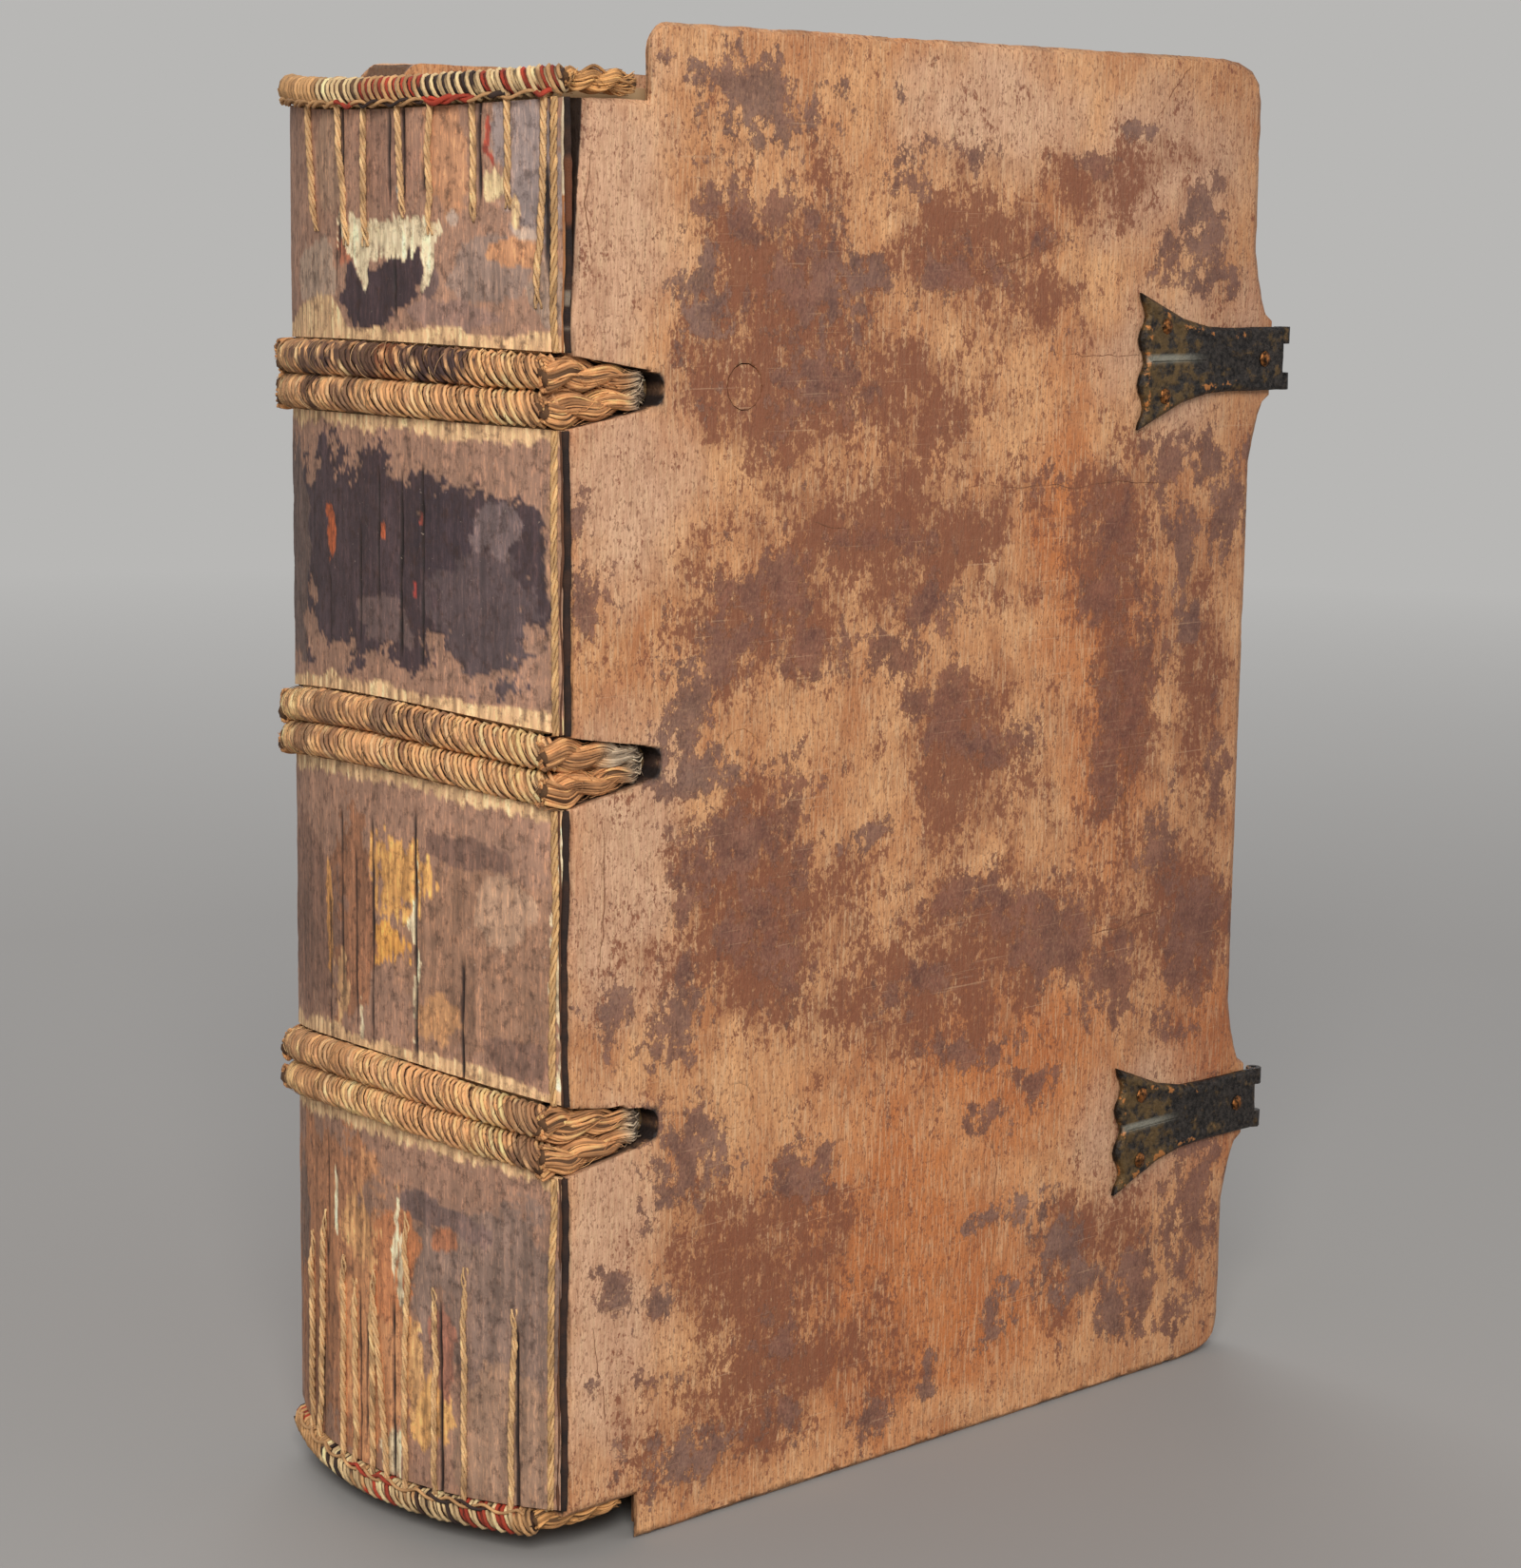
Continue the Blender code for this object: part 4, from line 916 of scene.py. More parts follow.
lining_skin = lining_finish()
columns, row_step, sheet_thick = 300, 0.34 * mm, 0.4 * mm
for panel in range(4):
    share_line = np.linspace(0.012, 0.988, columns)
    low_line, high_line = panel_edges(panel, share_line)
    rows = int((high_line.mean() - low_line.mean()) / row_step)
    part = np.linspace(0, 1, rows)[:, None]
    share = np.tile(share_line, (rows, 1)).ravel()
    low, high = np.tile(low_line, (rows, 1)).ravel(), np.tile(high_line, (rows, 1)).ravel()
    z = (low_line + (high_line - low_line) * part).ravel()
    paint, height = paint_panel(panel, share, z, low, high)
    front = on_spine(share, height, z)
    back_low, back_high = (on_spine(share_line, -sheet_thick, line) for line in (low_line, high_line))
    points = np.concatenate([front, back_low, back_high])
    index = np.arange(rows * columns).reshape(rows, columns)
    quads = np.stack([index[:-1, :-1], index[1:, :-1], index[1:, 1:], index[:-1, 1:]], axis=-1).reshape(-1, 4)
    below = np.arange(columns) + rows * columns
    over = below + columns
    faces = quads.tolist()
    for i in range(columns - 1):
        faces.append((below[i], index[0, i], index[0, i + 1], below[i + 1]))
        faces.append((index[-1, i], over[i], over[i + 1], index[-1, i + 1]))
        faces.append((over[i], below[i], below[i + 1], over[i + 1]))
    faces.append((below[0], over[0], *index[::-1, 0]))
    faces.append((over[-1], below[-1], *index[:, -1]))
    ends = linear(np.tile(np.array(comb_tan, float), (2 * columns, 1)))
    faces = [tuple(map(int, face)) for face in faces]
    lining = smooth(mesh_object(f"spine_panel_{panel + 1}", points, faces, lining_skin), 60)
    coloured = {"paint": np.concatenate([paint, ends])}
    carry(lining, "book_block", [f"spine_lining_{panel + 1}"], colours=coloured)
    print(lining.name, len(lining.data.polygons), "faces")

# %% [markdown]
# ## Thread and cord
#
# Thread is a thin tube that follows a path. A skein gathers many tubes into one mesh and keeps a colour
# for each of their points, so one material serves clean, stained and dyed thread alike.

# %% Skeins
class Skein:
    """Many threads in one mesh, with a colour at each point."""

    def __init__(self):
        self.points, self.faces, self.colours, self.count = [], [], [], 0

    def thread(self, path, side, radius, colour, sides=5):
        """A tube along a path. The side is a direction across it at each point."""
        path = np.asarray(path, float)
        along = np.gradient(path, axis=0)
        along /= np.linalg.norm(along, axis=1)[:, None]
        side = np.asarray(side, float) + 0 * path
        side = side - along * np.sum(side * along, axis=1)[:, None]
        side /= np.linalg.norm(side, axis=1)[:, None]
        other = np.cross(along, side)
        turn = 2 * np.pi * np.arange(sides) / sides
        size = (np.asarray(radius, float) + np.zeros(len(path)))[:, None, None]
        ring = side[:, None] * np.cos(turn)[None, :, None] + other[:, None] * np.sin(turn)[None, :, None]
        self.points.append((path[:, None] + ring * size).reshape(-1, 3))
        index = self.count + np.arange(len(path) * sides).reshape(len(path), sides)
        after = np.roll(index, -1, axis=1)
        quads = np.stack([index[:-1], after[:-1], after[1:], index[1:]], axis=-1).reshape(-1, 4)
        self.faces += quads.tolist()
        self.faces += [tuple(index[0, ::-1].tolist()), tuple(index[-1].tolist())]
        colour = np.asarray(colour, float) + np.zeros((len(path), 3))
        self.colours.append(np.repeat(colour, sides, axis=0))
        self.count += len(path) * sides

    def piece(self, name, material, body, slot, replaced=()):
        obj = mesh_object(name, np.concatenate(self.points), self.faces, material)
        dye = linear(np.clip(np.concatenate(self.colours), 0, 255))
        return carry(smooth(obj), body, replaced, colours={"dye": dye})


print("a thread has 3 to 8 sides")

# %% [markdown]
# Three yarns are needed: the linen of the sewing, the finer thread of the endbands, which shines a little,
# and rough hemp. They differ in how fine their fibres are and how dull they look.

# %% Thread finishes
def thread_finish(name, size, roughness=0.85):
    """A spun thread: its dye, darkened in clouds of dirt, with fibres that catch the light."""
    spun = Recipe(name, roughness)
    fibre = spun.cloud(size, (1, 1, 1), 3, 0.6)
    darkener = spun.cloud(2.5 * mm, (1, 1, 1), 4, 0.6, 6.0)
    dusty = spun.coat(spun.mark("dye", "Color"), shade(92, 60, 40), darkener, 0.45, 0.75, 0.45)
    lit = spun.coat(dusty, shade(226, 190, 140), fibre, 0.35, 0.75, 0.5, "SOFT_LIGHT")
    return spun.finish(lit, None, spun.relief(fibre, 0.15 * mm))


sewing_thread = thread_finish("sewing_thread", 0.14 * mm)
endband_thread = thread_finish("endband_thread", 0.14 * mm, 0.75)
hemp_cord = thread_finish("hemp_cord", 0.12 * mm, 0.9)
print("finishes:", sewing_thread.name, endband_thread.name, hemp_cord.name)

# %% [markdown]
# ## The raised bands
#
# Each band is a pair of cords. The sewing thread is packed round each cord, turn against turn, so that
# only thread shows. A real helix gives the ridges, the slant of the turns and the notched outline.

# %% The way of a cord
def cord_route(share):
    """Place, outward direction and half depth along a cord, which turns into the joint at both ends."""
    radius, turn_radius, slip_depth, cover = spine_radius + 0.1 * mm, 3 * mm, 1.2 * mm, 0.2 * mm
    pivot_y = half_thick - cover - slip_depth - turn_radius
    turn = math.asin(pivot_y / (radius - turn_radius))
    pivot_x = spine_centre - (radius - turn_radius) * math.cos(turn)
    end = math.acos((pivot_x + 0.3 * mm) / turn_radius)
    arc, bend = radius * turn, turn_radius * (end - turn)
    along = (2 * np.asarray(share, float) - 1) * (arc + bend)
    past = np.maximum(0, np.abs(along) - arc)
    sign = np.sign(along)
    angle = np.where(past > 0, sign * (turn + past / turn_radius), along / radius)
    out = outward(angle)
    on_arc = np.array((spine_centre, 0, 0)) + out * radius
    on_bend = as_points(pivot_x + 0 * along, sign * pivot_y) + out * turn_radius
    place = np.where((past > 0)[:, None], on_bend, on_arc) + np.array((joint, 0, 0))
    depth = cord_radius + (slip_depth - cord_radius) * past / bend
    return place, out, depth, 2 * (arc + bend)


print(f"a cord is {cord_route(np.array((0.5,)))[3] / mm:.1f} mm long round the spine")

# %% [markdown]
# One thread winds round the cord from end to end. Each third turn stands a little prouder than the next
# two, so the turns lie in groups of three. Loose hairs of thread lie over them, and a core fills the inside,
# so that no light comes through. The core is coloured dark brown: painted shade in the gaps between turns.

# %% Winding
def winding(skein, route, height, rise, radius, tint, seed, group, thread, slant, steps=12, hairs=0):
    """Winds thread round a route in groups of three turns. tint gives colours from share, group and angle."""
    length = route(np.array((0.5,)))[3]
    turns = 3 * int(length / group)
    share = np.linspace(0, 1, turns * steps + 1)
    number = np.arange(len(share)) / steps
    theta = 2 * np.pi * number
    jitter = as_points(number, 0, seed)
    slide = slant * np.sin(theta) + 0.16 * group * swells(jitter, 1.7, seed)
    slid = share + (slide + 0.25 * group * swells(jitter, 11, seed + 4)) / length
    place, out, depth, _ = route(np.clip(slid, 0, 1))
    crown = thread * (0.42 + 0.82 * np.cos(2 * np.pi * (number / 3 + 0.12 * swells(jitter, 5, seed + 5))))
    size = 0.98 + 0.05 * swells(jitter, 2.3, seed + 1)
    middle = place + up * (height + bow(slid, rise))[:, None]
    ring = out * np.cos(theta)[:, None]
    path = middle + ring * (depth * size - 2 * thread + crown)[:, None]
    path = path + up * ((radius * size - 2 * thread + crown) * np.sin(theta))[:, None]
    side = ring + up * np.sin(theta)[:, None]
    width = thread * (1.08 + 0.16 * swells(jitter, 0.9, seed + 2))
    skein.thread(path, side, width, tint(slid, number / 3, theta), 4)
    for _ in range(hairs):
        part = np.linspace(0, 1, 8)
        share = chance.uniform(0.03, 0.97) + part * chance.uniform(-1.5, 1.5) * mm / length
        theta = chance.uniform(-1.6, 1.0) + part * chance.uniform(0.6, 1.6)
        lift = 0.4 * thread + 0.25 * thread * np.sin(np.pi * part)
        place, out, depth, _ = route(np.clip(share, 0, 1))
        path = place + up * (height + bow(share, rise) + (radius + lift) * np.sin(theta))[:, None]
        path = path + out * ((depth + lift) * np.cos(theta))[:, None]
        tone = np.array((226, 184, 138), float) * chance.uniform(0.45, 1.12)
        skein.thread(path, out, 0.035 * mm, tone, 3)
    # The core is coloured dark brown: painted shade seen through the gaps between the turns
    core_share = np.linspace(0, 1, 60)
    place, out, depth, _ = route(core_share)
    core = (radius - 2.4 * thread) * depth / depth.max()
    skein.thread(place + up * (height + bow(core_share, rise))[:, None], out, core, (60, 38, 26), 8)


thread_thick, turn_group = 0.22 * mm, 1.08 * mm
print(f"3 turns of thread take {turn_group / mm:.2f} mm")

# %% [markdown]
# The thread is tan where it is clean. Glue and leather left dark stains, most on the upper cord of the head
# band. Each turn is darker where it rolls back round the cord: painted shade in the grooves between turns.

# %% Six wound cords
# Stains by band and cord, 1 for the upper one: share, reach, colour, strength
stains = {
    (0, 1): (
        (0.30, 0.10, (62, 48, 52), 0.9), (0.50, 0.16, (72, 54, 50), 0.8), (0.70, 0.10, (66, 52, 54), 0.7),
        (0.42, 0.03, (150, 84, 50), 0.6), (0.85, 0.10, (96, 74, 62), 0.5),
    ),
    (0, -1): ((0.72, 0.05, (60, 46, 44), 0.8), (0.55, 0.05, (88, 66, 58), 0.6), (0.88, 0.10, (110, 88, 72), 0.5)),
    (1, 1): ((0.66, 0.10, (104, 80, 66), 0.6), (0.42, 0.06, (84, 66, 60), 0.6), (0.30, 0.03, (90, 72, 66), 0.6)),
    (1, -1): ((0.78, 0.08, (96, 72, 60), 0.6), (0.62, 0.03, (88, 64, 56), 0.5)),
    (2, 1): ((0.05, 0.05, (100, 74, 58), 0.5), (0.60, 0.10, (130, 96, 66), 0.4), (0.85, 0.10, (112, 86, 68), 0.5)),
    (2, -1): ((0.06, 0.04, (90, 66, 54), 0.6), (0.75, 0.12, (120, 90, 66), 0.4)),
}
clean_thread, pale_thread, grey_thread = (228, 172, 122), (246, 208, 162), (116, 84, 78)
band_light = (1.10, 1.16, 1.17)


def thread_tint(band, lie):
    """The colour of a band's packed thread: tan, turned darker by stains, by chance and by painted shade."""
    def tint(share, number, theta):
        where, single = as_points(number, 0, 3 * band + lie), as_points(np.floor(3 * number), 0, band)
        colour = paint_over(clean_thread, pale_thread, 0.6 * ease(swells(7.3 * single, 1, 15), 0.0, 0.6))
        # Painted shade: each turn is darkened where it rolls back round the cord, between the turns
        groove = ease(-np.cos(2 * np.pi * number), 0.1, 0.95)
        light = band_light[band] + 0.13 * swells(5.1 * single, 1, 5) + 0.12 * swells(where, 4, 8) - 0.58 * groove
        around = as_points(3.2 * number, 1.6 * theta % (3.2 * np.pi), 5 * band + lie)
        patchy = 0.9 * swells(around, 1.3, 11) + 0.9 * swells(around, 0.45, 13) + 0.4 * np.sin(theta + 1.3)
        colour = paint_over(colour * light[:, None], grey_thread, 0.45 * ease(swells(around, 0.8, 17), 0.3, 0.9))
        for centre, reach, stain, depth in stains[(band, lie)]:
            weight = depth * ease(1 - np.abs(share - centre) / reach + 1.0 * patchy, 0.3, 0.75)
            colour = paint_over(colour, stain, weight)
        return colour
    return tint


for band, (height, rise) in enumerate(zip(band_heights, band_rises)):
    for word, lie in (("upper", 1), ("lower", -1)):
        skein = Skein()
        winding(
            skein, cord_route, height + lie * cord_spacing / 2, rise, cord_radius + 0.16 * mm,
            thread_tint(band, lie), 100 + 10 * band + lie, turn_group, thread_thick, slant=0.70 * mm, hairs=90,
        )
        node = f"wound_cord_{band + 1}_{word}"
        piece = skein.piece(f"packed_sewing_{band + 1}_{word}", sewing_thread, "book_block", "thread", [node])
        print(piece.name, len(piece.data.polygons), "faces")

# %% [markdown]
# ## The slips
#
# Past the joint the cords lie bare in channels in the board and dive into a hole. They are hemp, each of
# two plies laid together, and each ply of finer yarns. The plies are modelled yarn by yarn. A slip bends
# with the board, but here it is given to neither body and stays where it lies in the frame.

# %% Rope
def rope(skein, centre, across, rise_way, half_depth, half_height, lay, tint, seed, fray=0.0, yarns=20, hairs=26):
    """A cord along a line of centres: two plies twisted round it, each made of fine yarns."""
    run = np.concatenate([[0], np.cumsum(np.linalg.norm(np.diff(centre, axis=0), axis=1))])
    last = ease(run / run[-1], 0.78, 1.0)
    size = (half_depth + half_height) / 2
    for ply, yarn in itertools.product(range(2), range(yarns)):
        big = 2 * np.pi * (run / lay + ply / 2) + seed
        small = 2 * np.pi * yarn / yarns - 0.25 * big
        noise = as_points(run, yarn * 3 * mm, ply * 5 * mm)
        loose = fray * last * chance.uniform(0.3, 1.5)
        stray = 0.07 + 0.22 * (chance.uniform() < 0.2)
        flat = 0.33 * np.cos(big) + 0.50 * np.cos(small) + stray * swells(noise, 3.5 * mm, seed + 1)
        tall = 0.33 * np.sin(big) + 0.50 * np.sin(small) + stray * swells(noise, 3.5 * mm, seed + 3)
        flat = flat + loose * swells(noise, 1.1 * mm, seed + 2)
        tall = tall + loose * swells(noise, 1.1 * mm, seed + 4)
        path = centre + across * (flat * half_depth)[:, None] + rise_way * (tall * half_height)[:, None]
        side = across * np.cos(small)[:, None] + rise_way * np.sin(small)[:, None]
        thick = (0.08 + 0.03 * (yarn % 3)) * size * (1 + 0.25 * swells(noise, 1.2 * mm, seed + 5))
        tone = 1.05 + 0.26 * chance.uniform(-1, 1) + 0.16 * swells(noise, 1.0 * mm, seed + 6)
        skein.thread(path, side, thick * (1 - 0.45 * last), tint(run) * tone[:, None], 4)
    # Each ply has a core at half the hemp's tone: painted shade in the gaps between its yarns
    for ply in range(2):
        big = 2 * np.pi * (run / lay + ply / 2) + seed
        path = centre + across * (0.33 * np.cos(big) * half_depth)[:, None]
        path = path + rise_way * (0.33 * np.sin(big) * half_height)[:, None]
        skein.thread(path, across, 0.46 * size, tint(run) * 0.50, 8)
    for hair in range(hairs):
        first = chance.uniform(0, 0.8) * len(run)
        some = slice(int(first), int(first + 4 + chance.uniform(0.1, 0.25) * len(run)))
        noise = as_points(run[some], hair * 2 * mm)
        turn = chance.uniform(0, 2 * np.pi) + 1.5 * swells(noise, 3 * mm, seed + 7)
        out = 0.86 + 0.16 * swells(noise, 1.5 * mm, seed + 8)
        path = centre[some] + across * (out * np.cos(turn) * half_depth[some])[:, None]
        path = path + rise_way * (out * np.sin(turn) * half_height[some])[:, None]
        skein.thread(path, across, 0.045 * mm, tint(run[some]) * chance.uniform(0.7, 1.35), 3)


def across_joint(name, side):
    """The two bodies on either side of the joint, and the two ends of the stretch where a piece crosses it."""
    ends = [(joint + reach, side * half_thick, 0) for reach in (-1.6 * mm, 1.6 * mm)]
    return "book_block", f"{name}_cover", *ends


def slip_tint(run, start=9.5 * mm):
    """Hemp: orange-brown near the joint, grey and pale at the frayed tip."""
    return paint_over((206, 150, 102), (200, 180, 156), ease(run, start, start + 3.5 * mm))


print("a piece bends between", *[f"{end[0] / mm:.1f}" for end in across_joint("front", -1)[2:]], "mm along x")

# %% [markdown]
# Each slip narrows on its way to the lacing hole and sinks in at its end. The upper one of the middle
# band, at the front, is plastered with pale paste over a longer stretch than the rest.

# %% Slips
lacing_hole = 10.9 * mm
# The course of a slip: places across from the joint, and depths of its middle under the board's face (mm)
slip_course = (
    (-2.6, 0.3, lacing_hole / mm / 3, lacing_hole / mm * 2 / 3, 9.9, 11.5),
    (1.5, 1.3, 1.25, 1.25, 1.6, 2.6),
)
for name, side in (("front", -1), ("back", 1)):
    for band, height in enumerate(band_heights):
        for word, lie in (("upper", 1), ("lower", -1)):
            x, depths = np.array(slip_course) * mm
            run = np.linspace(x[0], x[-1], 40)
            depth = np.interp(run, x, depths)
            part = np.clip(run / lacing_hole, 0, 1)
            spacing = cord_spacing + (1.7 * mm - cord_spacing) * part
            half_height = 2.25 * mm + (1.15 * mm - 2.25 * mm) * part
            half_depth = 1.55 * mm + (1.0 * mm - 1.55 * mm) * part
            centre = as_points(joint + run, side * (half_thick - depth), height + lie * spacing / 2)
            plastered = (name, band, lie) == ("front", 1, 1)
            skein = Skein()
            rope(
                skein, centre, np.array((0, side, 0)), up, half_depth, half_height, 10 * mm * lie,
                (lambda length: slip_tint(length, 6 * mm)) if plastered else slip_tint,
                200 + 10 * band + lie + side, fray=0.7,
            )
            piece_name, node = (f"{name}_{kind}_{band + 1}_{word}" for kind in ("hemp_slip", "slip"))
            skein.piece(piece_name, hemp_cord, across_joint(name, side), "cord", [node])
print("12 slips")

# %% [markdown]
# ## Endbands and their tie-downs
#
# The endbands are cores wound with thread in several colours. At intervals the thread dives down between
# the leaves and shows on the spine as a long tie-down. The colours run in groups: cream striped with red,
# cream with black, then plain straw. A bead of threads lies along the side next to the lining.

# %% The colours of the endbands
natural, straw, red, dark = (238, 206, 158), (206, 160, 112), (176, 62, 42), (50, 38, 36)


def endband_route(reach):
    def route(share):
        angle = (2 * np.asarray(share, float) - 1) * spine_half_angle * reach
        place = np.array((joint + spine_centre, 0, 0)) + outward(angle) * (spine_radius - 0.2 * mm)
        length = 2 * spine_half_angle * reach * spine_radius
        return place, outward(angle), np.full(len(angle), endband_radius), length
    return route


def endband_tint(groups, seed):
    """Colours by share: each group gives the share where it ends and the colours of its turns."""
    def tint(share, number, theta):
        turn = np.floor(3 * number + 0.5).astype(int)
        colour = np.zeros((len(share), 3))
        start = -1.0
        for end, colours in groups:
            chosen = (share > start) & (share <= end)
            colour[chosen] = np.array(colours, float)[turn[chosen] % len(colours)]
            start = end
        where = as_points(number, 0.3 * theta)
        light = 1 + 0.20 * swells(where, 0.4, seed) + 0.08 * swells(where, 5, seed + 1)
        # Painted shade: each turn is darkened where it rolls back round the core, between the turns
        return colour * (light - 0.55 * ease(-np.cos(2 * np.pi * number), 0.3, 1.0))[:, None]
    return tint


striped_red, striped_dark = (natural,) * 3 + (red,) * 3, (natural,) * 3 + (dark,)
red_line = (straw, natural, red)
endband_groups = {
    "headband": (
        (0.05, red_line), (0.19, (natural,) * 4 + (red,) * 2), (0.33, (natural, natural, dark)), (0.51, red_line),
        (0.68, (natural, natural, (120, 92, 70))), (1.0, (straw, natural, (140, 104, 76))),
    ),
    "tailband": (
        (0.05, (straw,)), (0.20, striped_red), (0.34, striped_dark), (0.40, (natural, natural, straw)),
        (0.52, (natural, natural, natural, red, red, natural)), (0.58, (natural, straw)),
        (0.75, (natural,) * 3 + (dark,) * 2), (0.92, (straw, natural, straw)), (1.0, (straw, straw, red)),
    ),
}
print({name: len(groups) for name, groups in endband_groups.items()}, "groups of colours")

# %% [markdown]
# The bead and the tie-downs are loose threads of their own. A tie-down is three strands twisted together,
# which part a little at its foot, and a few of them lean.

# %% Beads and tie-downs
# Threads of the bead: start and end by share, colour and thickness (mm)
beads = {
    "headband": (
        (0.19, 0.32, red, 0.30), (0.20, 0.31, red, 0.22), (0.31, 0.52, dark, 0.18), (0.51, 0.61, red, 0.26),
        (0.12, 0.16, dark, 0.30), (0.02, 0.06, red, 0.28), (0.02, 0.98, straw, 0.20), (0.60, 0.98, straw, 0.22),
    ),
    "tailband": (
        (0.02, 0.98, straw, 0.20), (0.10, 0.30, dark, 0.20), (0.42, 0.60, red, 0.22), (0.70, 0.95, straw, 0.22),
    ),
}
# A few tie-downs lean: how far their feet lie from straight below, in shares
tie_leans = {
    ("headband", 0): 0.01, ("headband", 4): -0.01, ("headband", 6): -0.03, ("headband", 7): -0.05,
    ("tailband", 4): 0.05, ("tailband", 8): -0.04,
}


def lay_bead(skein, name, route):
    """Threads that twist along the side of an endband next to the lining."""
    height, sag, _ = endbands[name]
    low = 1 if name == "headband" else -1
    for strand, (first, last, tone, thick) in enumerate(beads[name]):
        share = np.linspace(first, last, int(300 * (last - first)) + 8)
        place, out, _, length = route(share)
        fade = ease(share, first, first + 0.02) * ease(-share, -last, -last + 0.02)
        turn = 2 * np.pi * (share * length / (4.5 * mm) + strand / 3)
        path = place + out * (0.85 * mm + (0.28 * mm + 0.25 * mm * np.cos(turn)) * fade)[:, None]
        drop = 1.05 * mm + (0.25 * mm + 0.30 * mm * np.sin(turn)) * fade
        path = path + up * (height + bow(share, -sag) - low * drop)[:, None]
        fuzz = 1 + 0.25 * swells(as_points(share, strand), (0.02, 1, 1), 66)
        skein.thread(path, out, thick * mm, np.array(tone, float) * fuzz[:, None])


def lay_ties(skein, name):
    """The tie-downs of an endband, each of three strands."""
    height, sag, reach = endbands[name]
    for order, (place_share, length) in enumerate(tie_downs[name]):
        share = (place_share * 2 - 1) * reach / 2 + 0.5
        part = np.linspace(0, 1, 60)
        z = height - sag * math.sin(math.pi * place_share) + length * part
        sway = as_points(z, order)
        lean = tie_leans.get((name, order), 0.0)
        wander = share + lean * part + 0.008 * swells(sway, (9 * mm, 1, 1), 310 + order) * part
        wander = wander + 0.004 * swells(sway, (2.2 * mm, 1, 1), 320 + order)
        out = 0.30 * mm + 0.14 * mm * swells(sway, (2.5 * mm, 1, 1), 330 + order) - 0.25 * mm * ease(part, 0.85, 1)
        path, way = on_spine(wander, out, z), outward(spine_angle(wander))
        across, loose = np.cross(way, up), ease(part, 0.82, 1.0)
        for strand in range(3):
            turn = 2 * np.pi * (z / (3.6 * mm) + strand / 3)
            twisted = path + (way * np.cos(turn)[:, None] + across * np.sin(turn)[:, None]) * 0.20 * mm
            stray = swells(sway + strand, (2 * mm, 1, 1), 360 + order) + 0.8 * (strand - 1)
            twisted = twisted + across * (0.22 * mm * loose * stray)[:, None]
            light = 1 + 0.24 * swells(sway + 5 * strand, (1.3 * mm, 1, 1), 340 + order)
            thick = 0.215 * mm * (1 + 0.28 * swells(sway + strand, (1.0 * mm, 1, 1), 350)) * (1 - 0.4 * loose)
            skein.thread(twisted, way, thick, np.array((224, 182, 134), float) * light[:, None], 4)


for name, (height, sag, reach) in endbands.items():
    skein = Skein()
    route = endband_route(reach)
    winding(
        skein, route, height, -sag, endband_radius + 0.14 * mm, endband_tint(endband_groups[name], 61), 300,
        group=1.12 * mm, thread=0.22 * mm, slant=0.55 * mm,
    )
    lay_bead(skein, name, route)
    lay_ties(skein, name)
    piece = skein.piece(f"{name}_sewn", endband_thread, "book_block", "endband", [name])
    print(piece.name, len(piece.data.polygons), "faces")

# %% [markdown]
# Along the front joint threads run up the edge of the linings. Deeper in the gap lie two strips, near
# black and dark brown: painted shade. At the head the deeper one holds scraps of old leather and grey flakes
# amid painted shade, and the other is a torn strip, pale parchment above and brown below. They stay with the spine.

# %% Strands along the joint
# What lies in the joint of the head panel: old leather high up, grey flakes low down, painted shade between
old_skin, grey_flake, gap_shade = np.array(((104, 60, 36), (146, 138, 126), (30, 18, 14)), float)
skein = Skein()
for panel in range(4):
    low, high = (float(edge) for edge in panel_edges(panel, 0.0))
    part = np.linspace(0, 1, 84)
    z = low + (high - low) * part
    base = as_points(z, 0, panel)
    skin_part = (ease(z / mm, 143.5, 144.5) * ease(-z / mm, -151.5, -150.5))[:, None]
    flakes = (ease(swells(base, 0.9 * mm, 508), 0.0, 0.3) * ease(-z / mm, -141, -138))[:, None]
    scraps = gap_shade + (old_skin - gap_shade) * skin_part + (grey_flake - gap_shade) * flakes
    for order in range(5):
        sway = base + (0, order, 0)
        if order < 3:
            turn = 2 * np.pi * (z / (4.2 * mm) + order / 3)
            share = 0.030 + 0.005 * swells(base, (8 * mm, 1, 1), 500) + 0.0045 * np.cos(turn)
            out, thick, tone = 0.16 * mm + 0.14 * mm * np.sin(turn), 0.20, (214, 172, 122)
        else:
            # The two deeper strips, near black and dark brown, are painted shade in the joint gap
            share = (0.006, 0.016)[order - 3] + 0.006 * swells(sway, (6 * mm, 1, 1), 505)
            out, thick, tone = ((-0.12 * mm, 0.42, (40, 27, 22)), (-0.12 * mm, 0.22, (96, 64, 46)))[order - 3]
        rough_thick = thick * mm * (1 + 0.35 * swells(sway, (1.1 * mm, 1, 1), 540))
        colour = np.array(tone, float) * (1 + 0.22 * swells(sway, (1.6 * mm, 1, 1), 530 + order))[:, None]
        if (panel, order) == (0, 3):
            colour = scraps
        elif (panel, order) == (0, 4):
            colour = np.where(z[:, None] > 147 * mm, (226, 206, 176), (178, 122, 80)) * np.ones(3)
        path = on_spine(np.clip(share, 0.001, 0.05), out, z)
        skein.thread(path, outward(spine_angle(share)), rough_thick, colour, 5)
skein.piece("joint_strands", sewing_thread, "book_block", "thread")
print("20 strands")
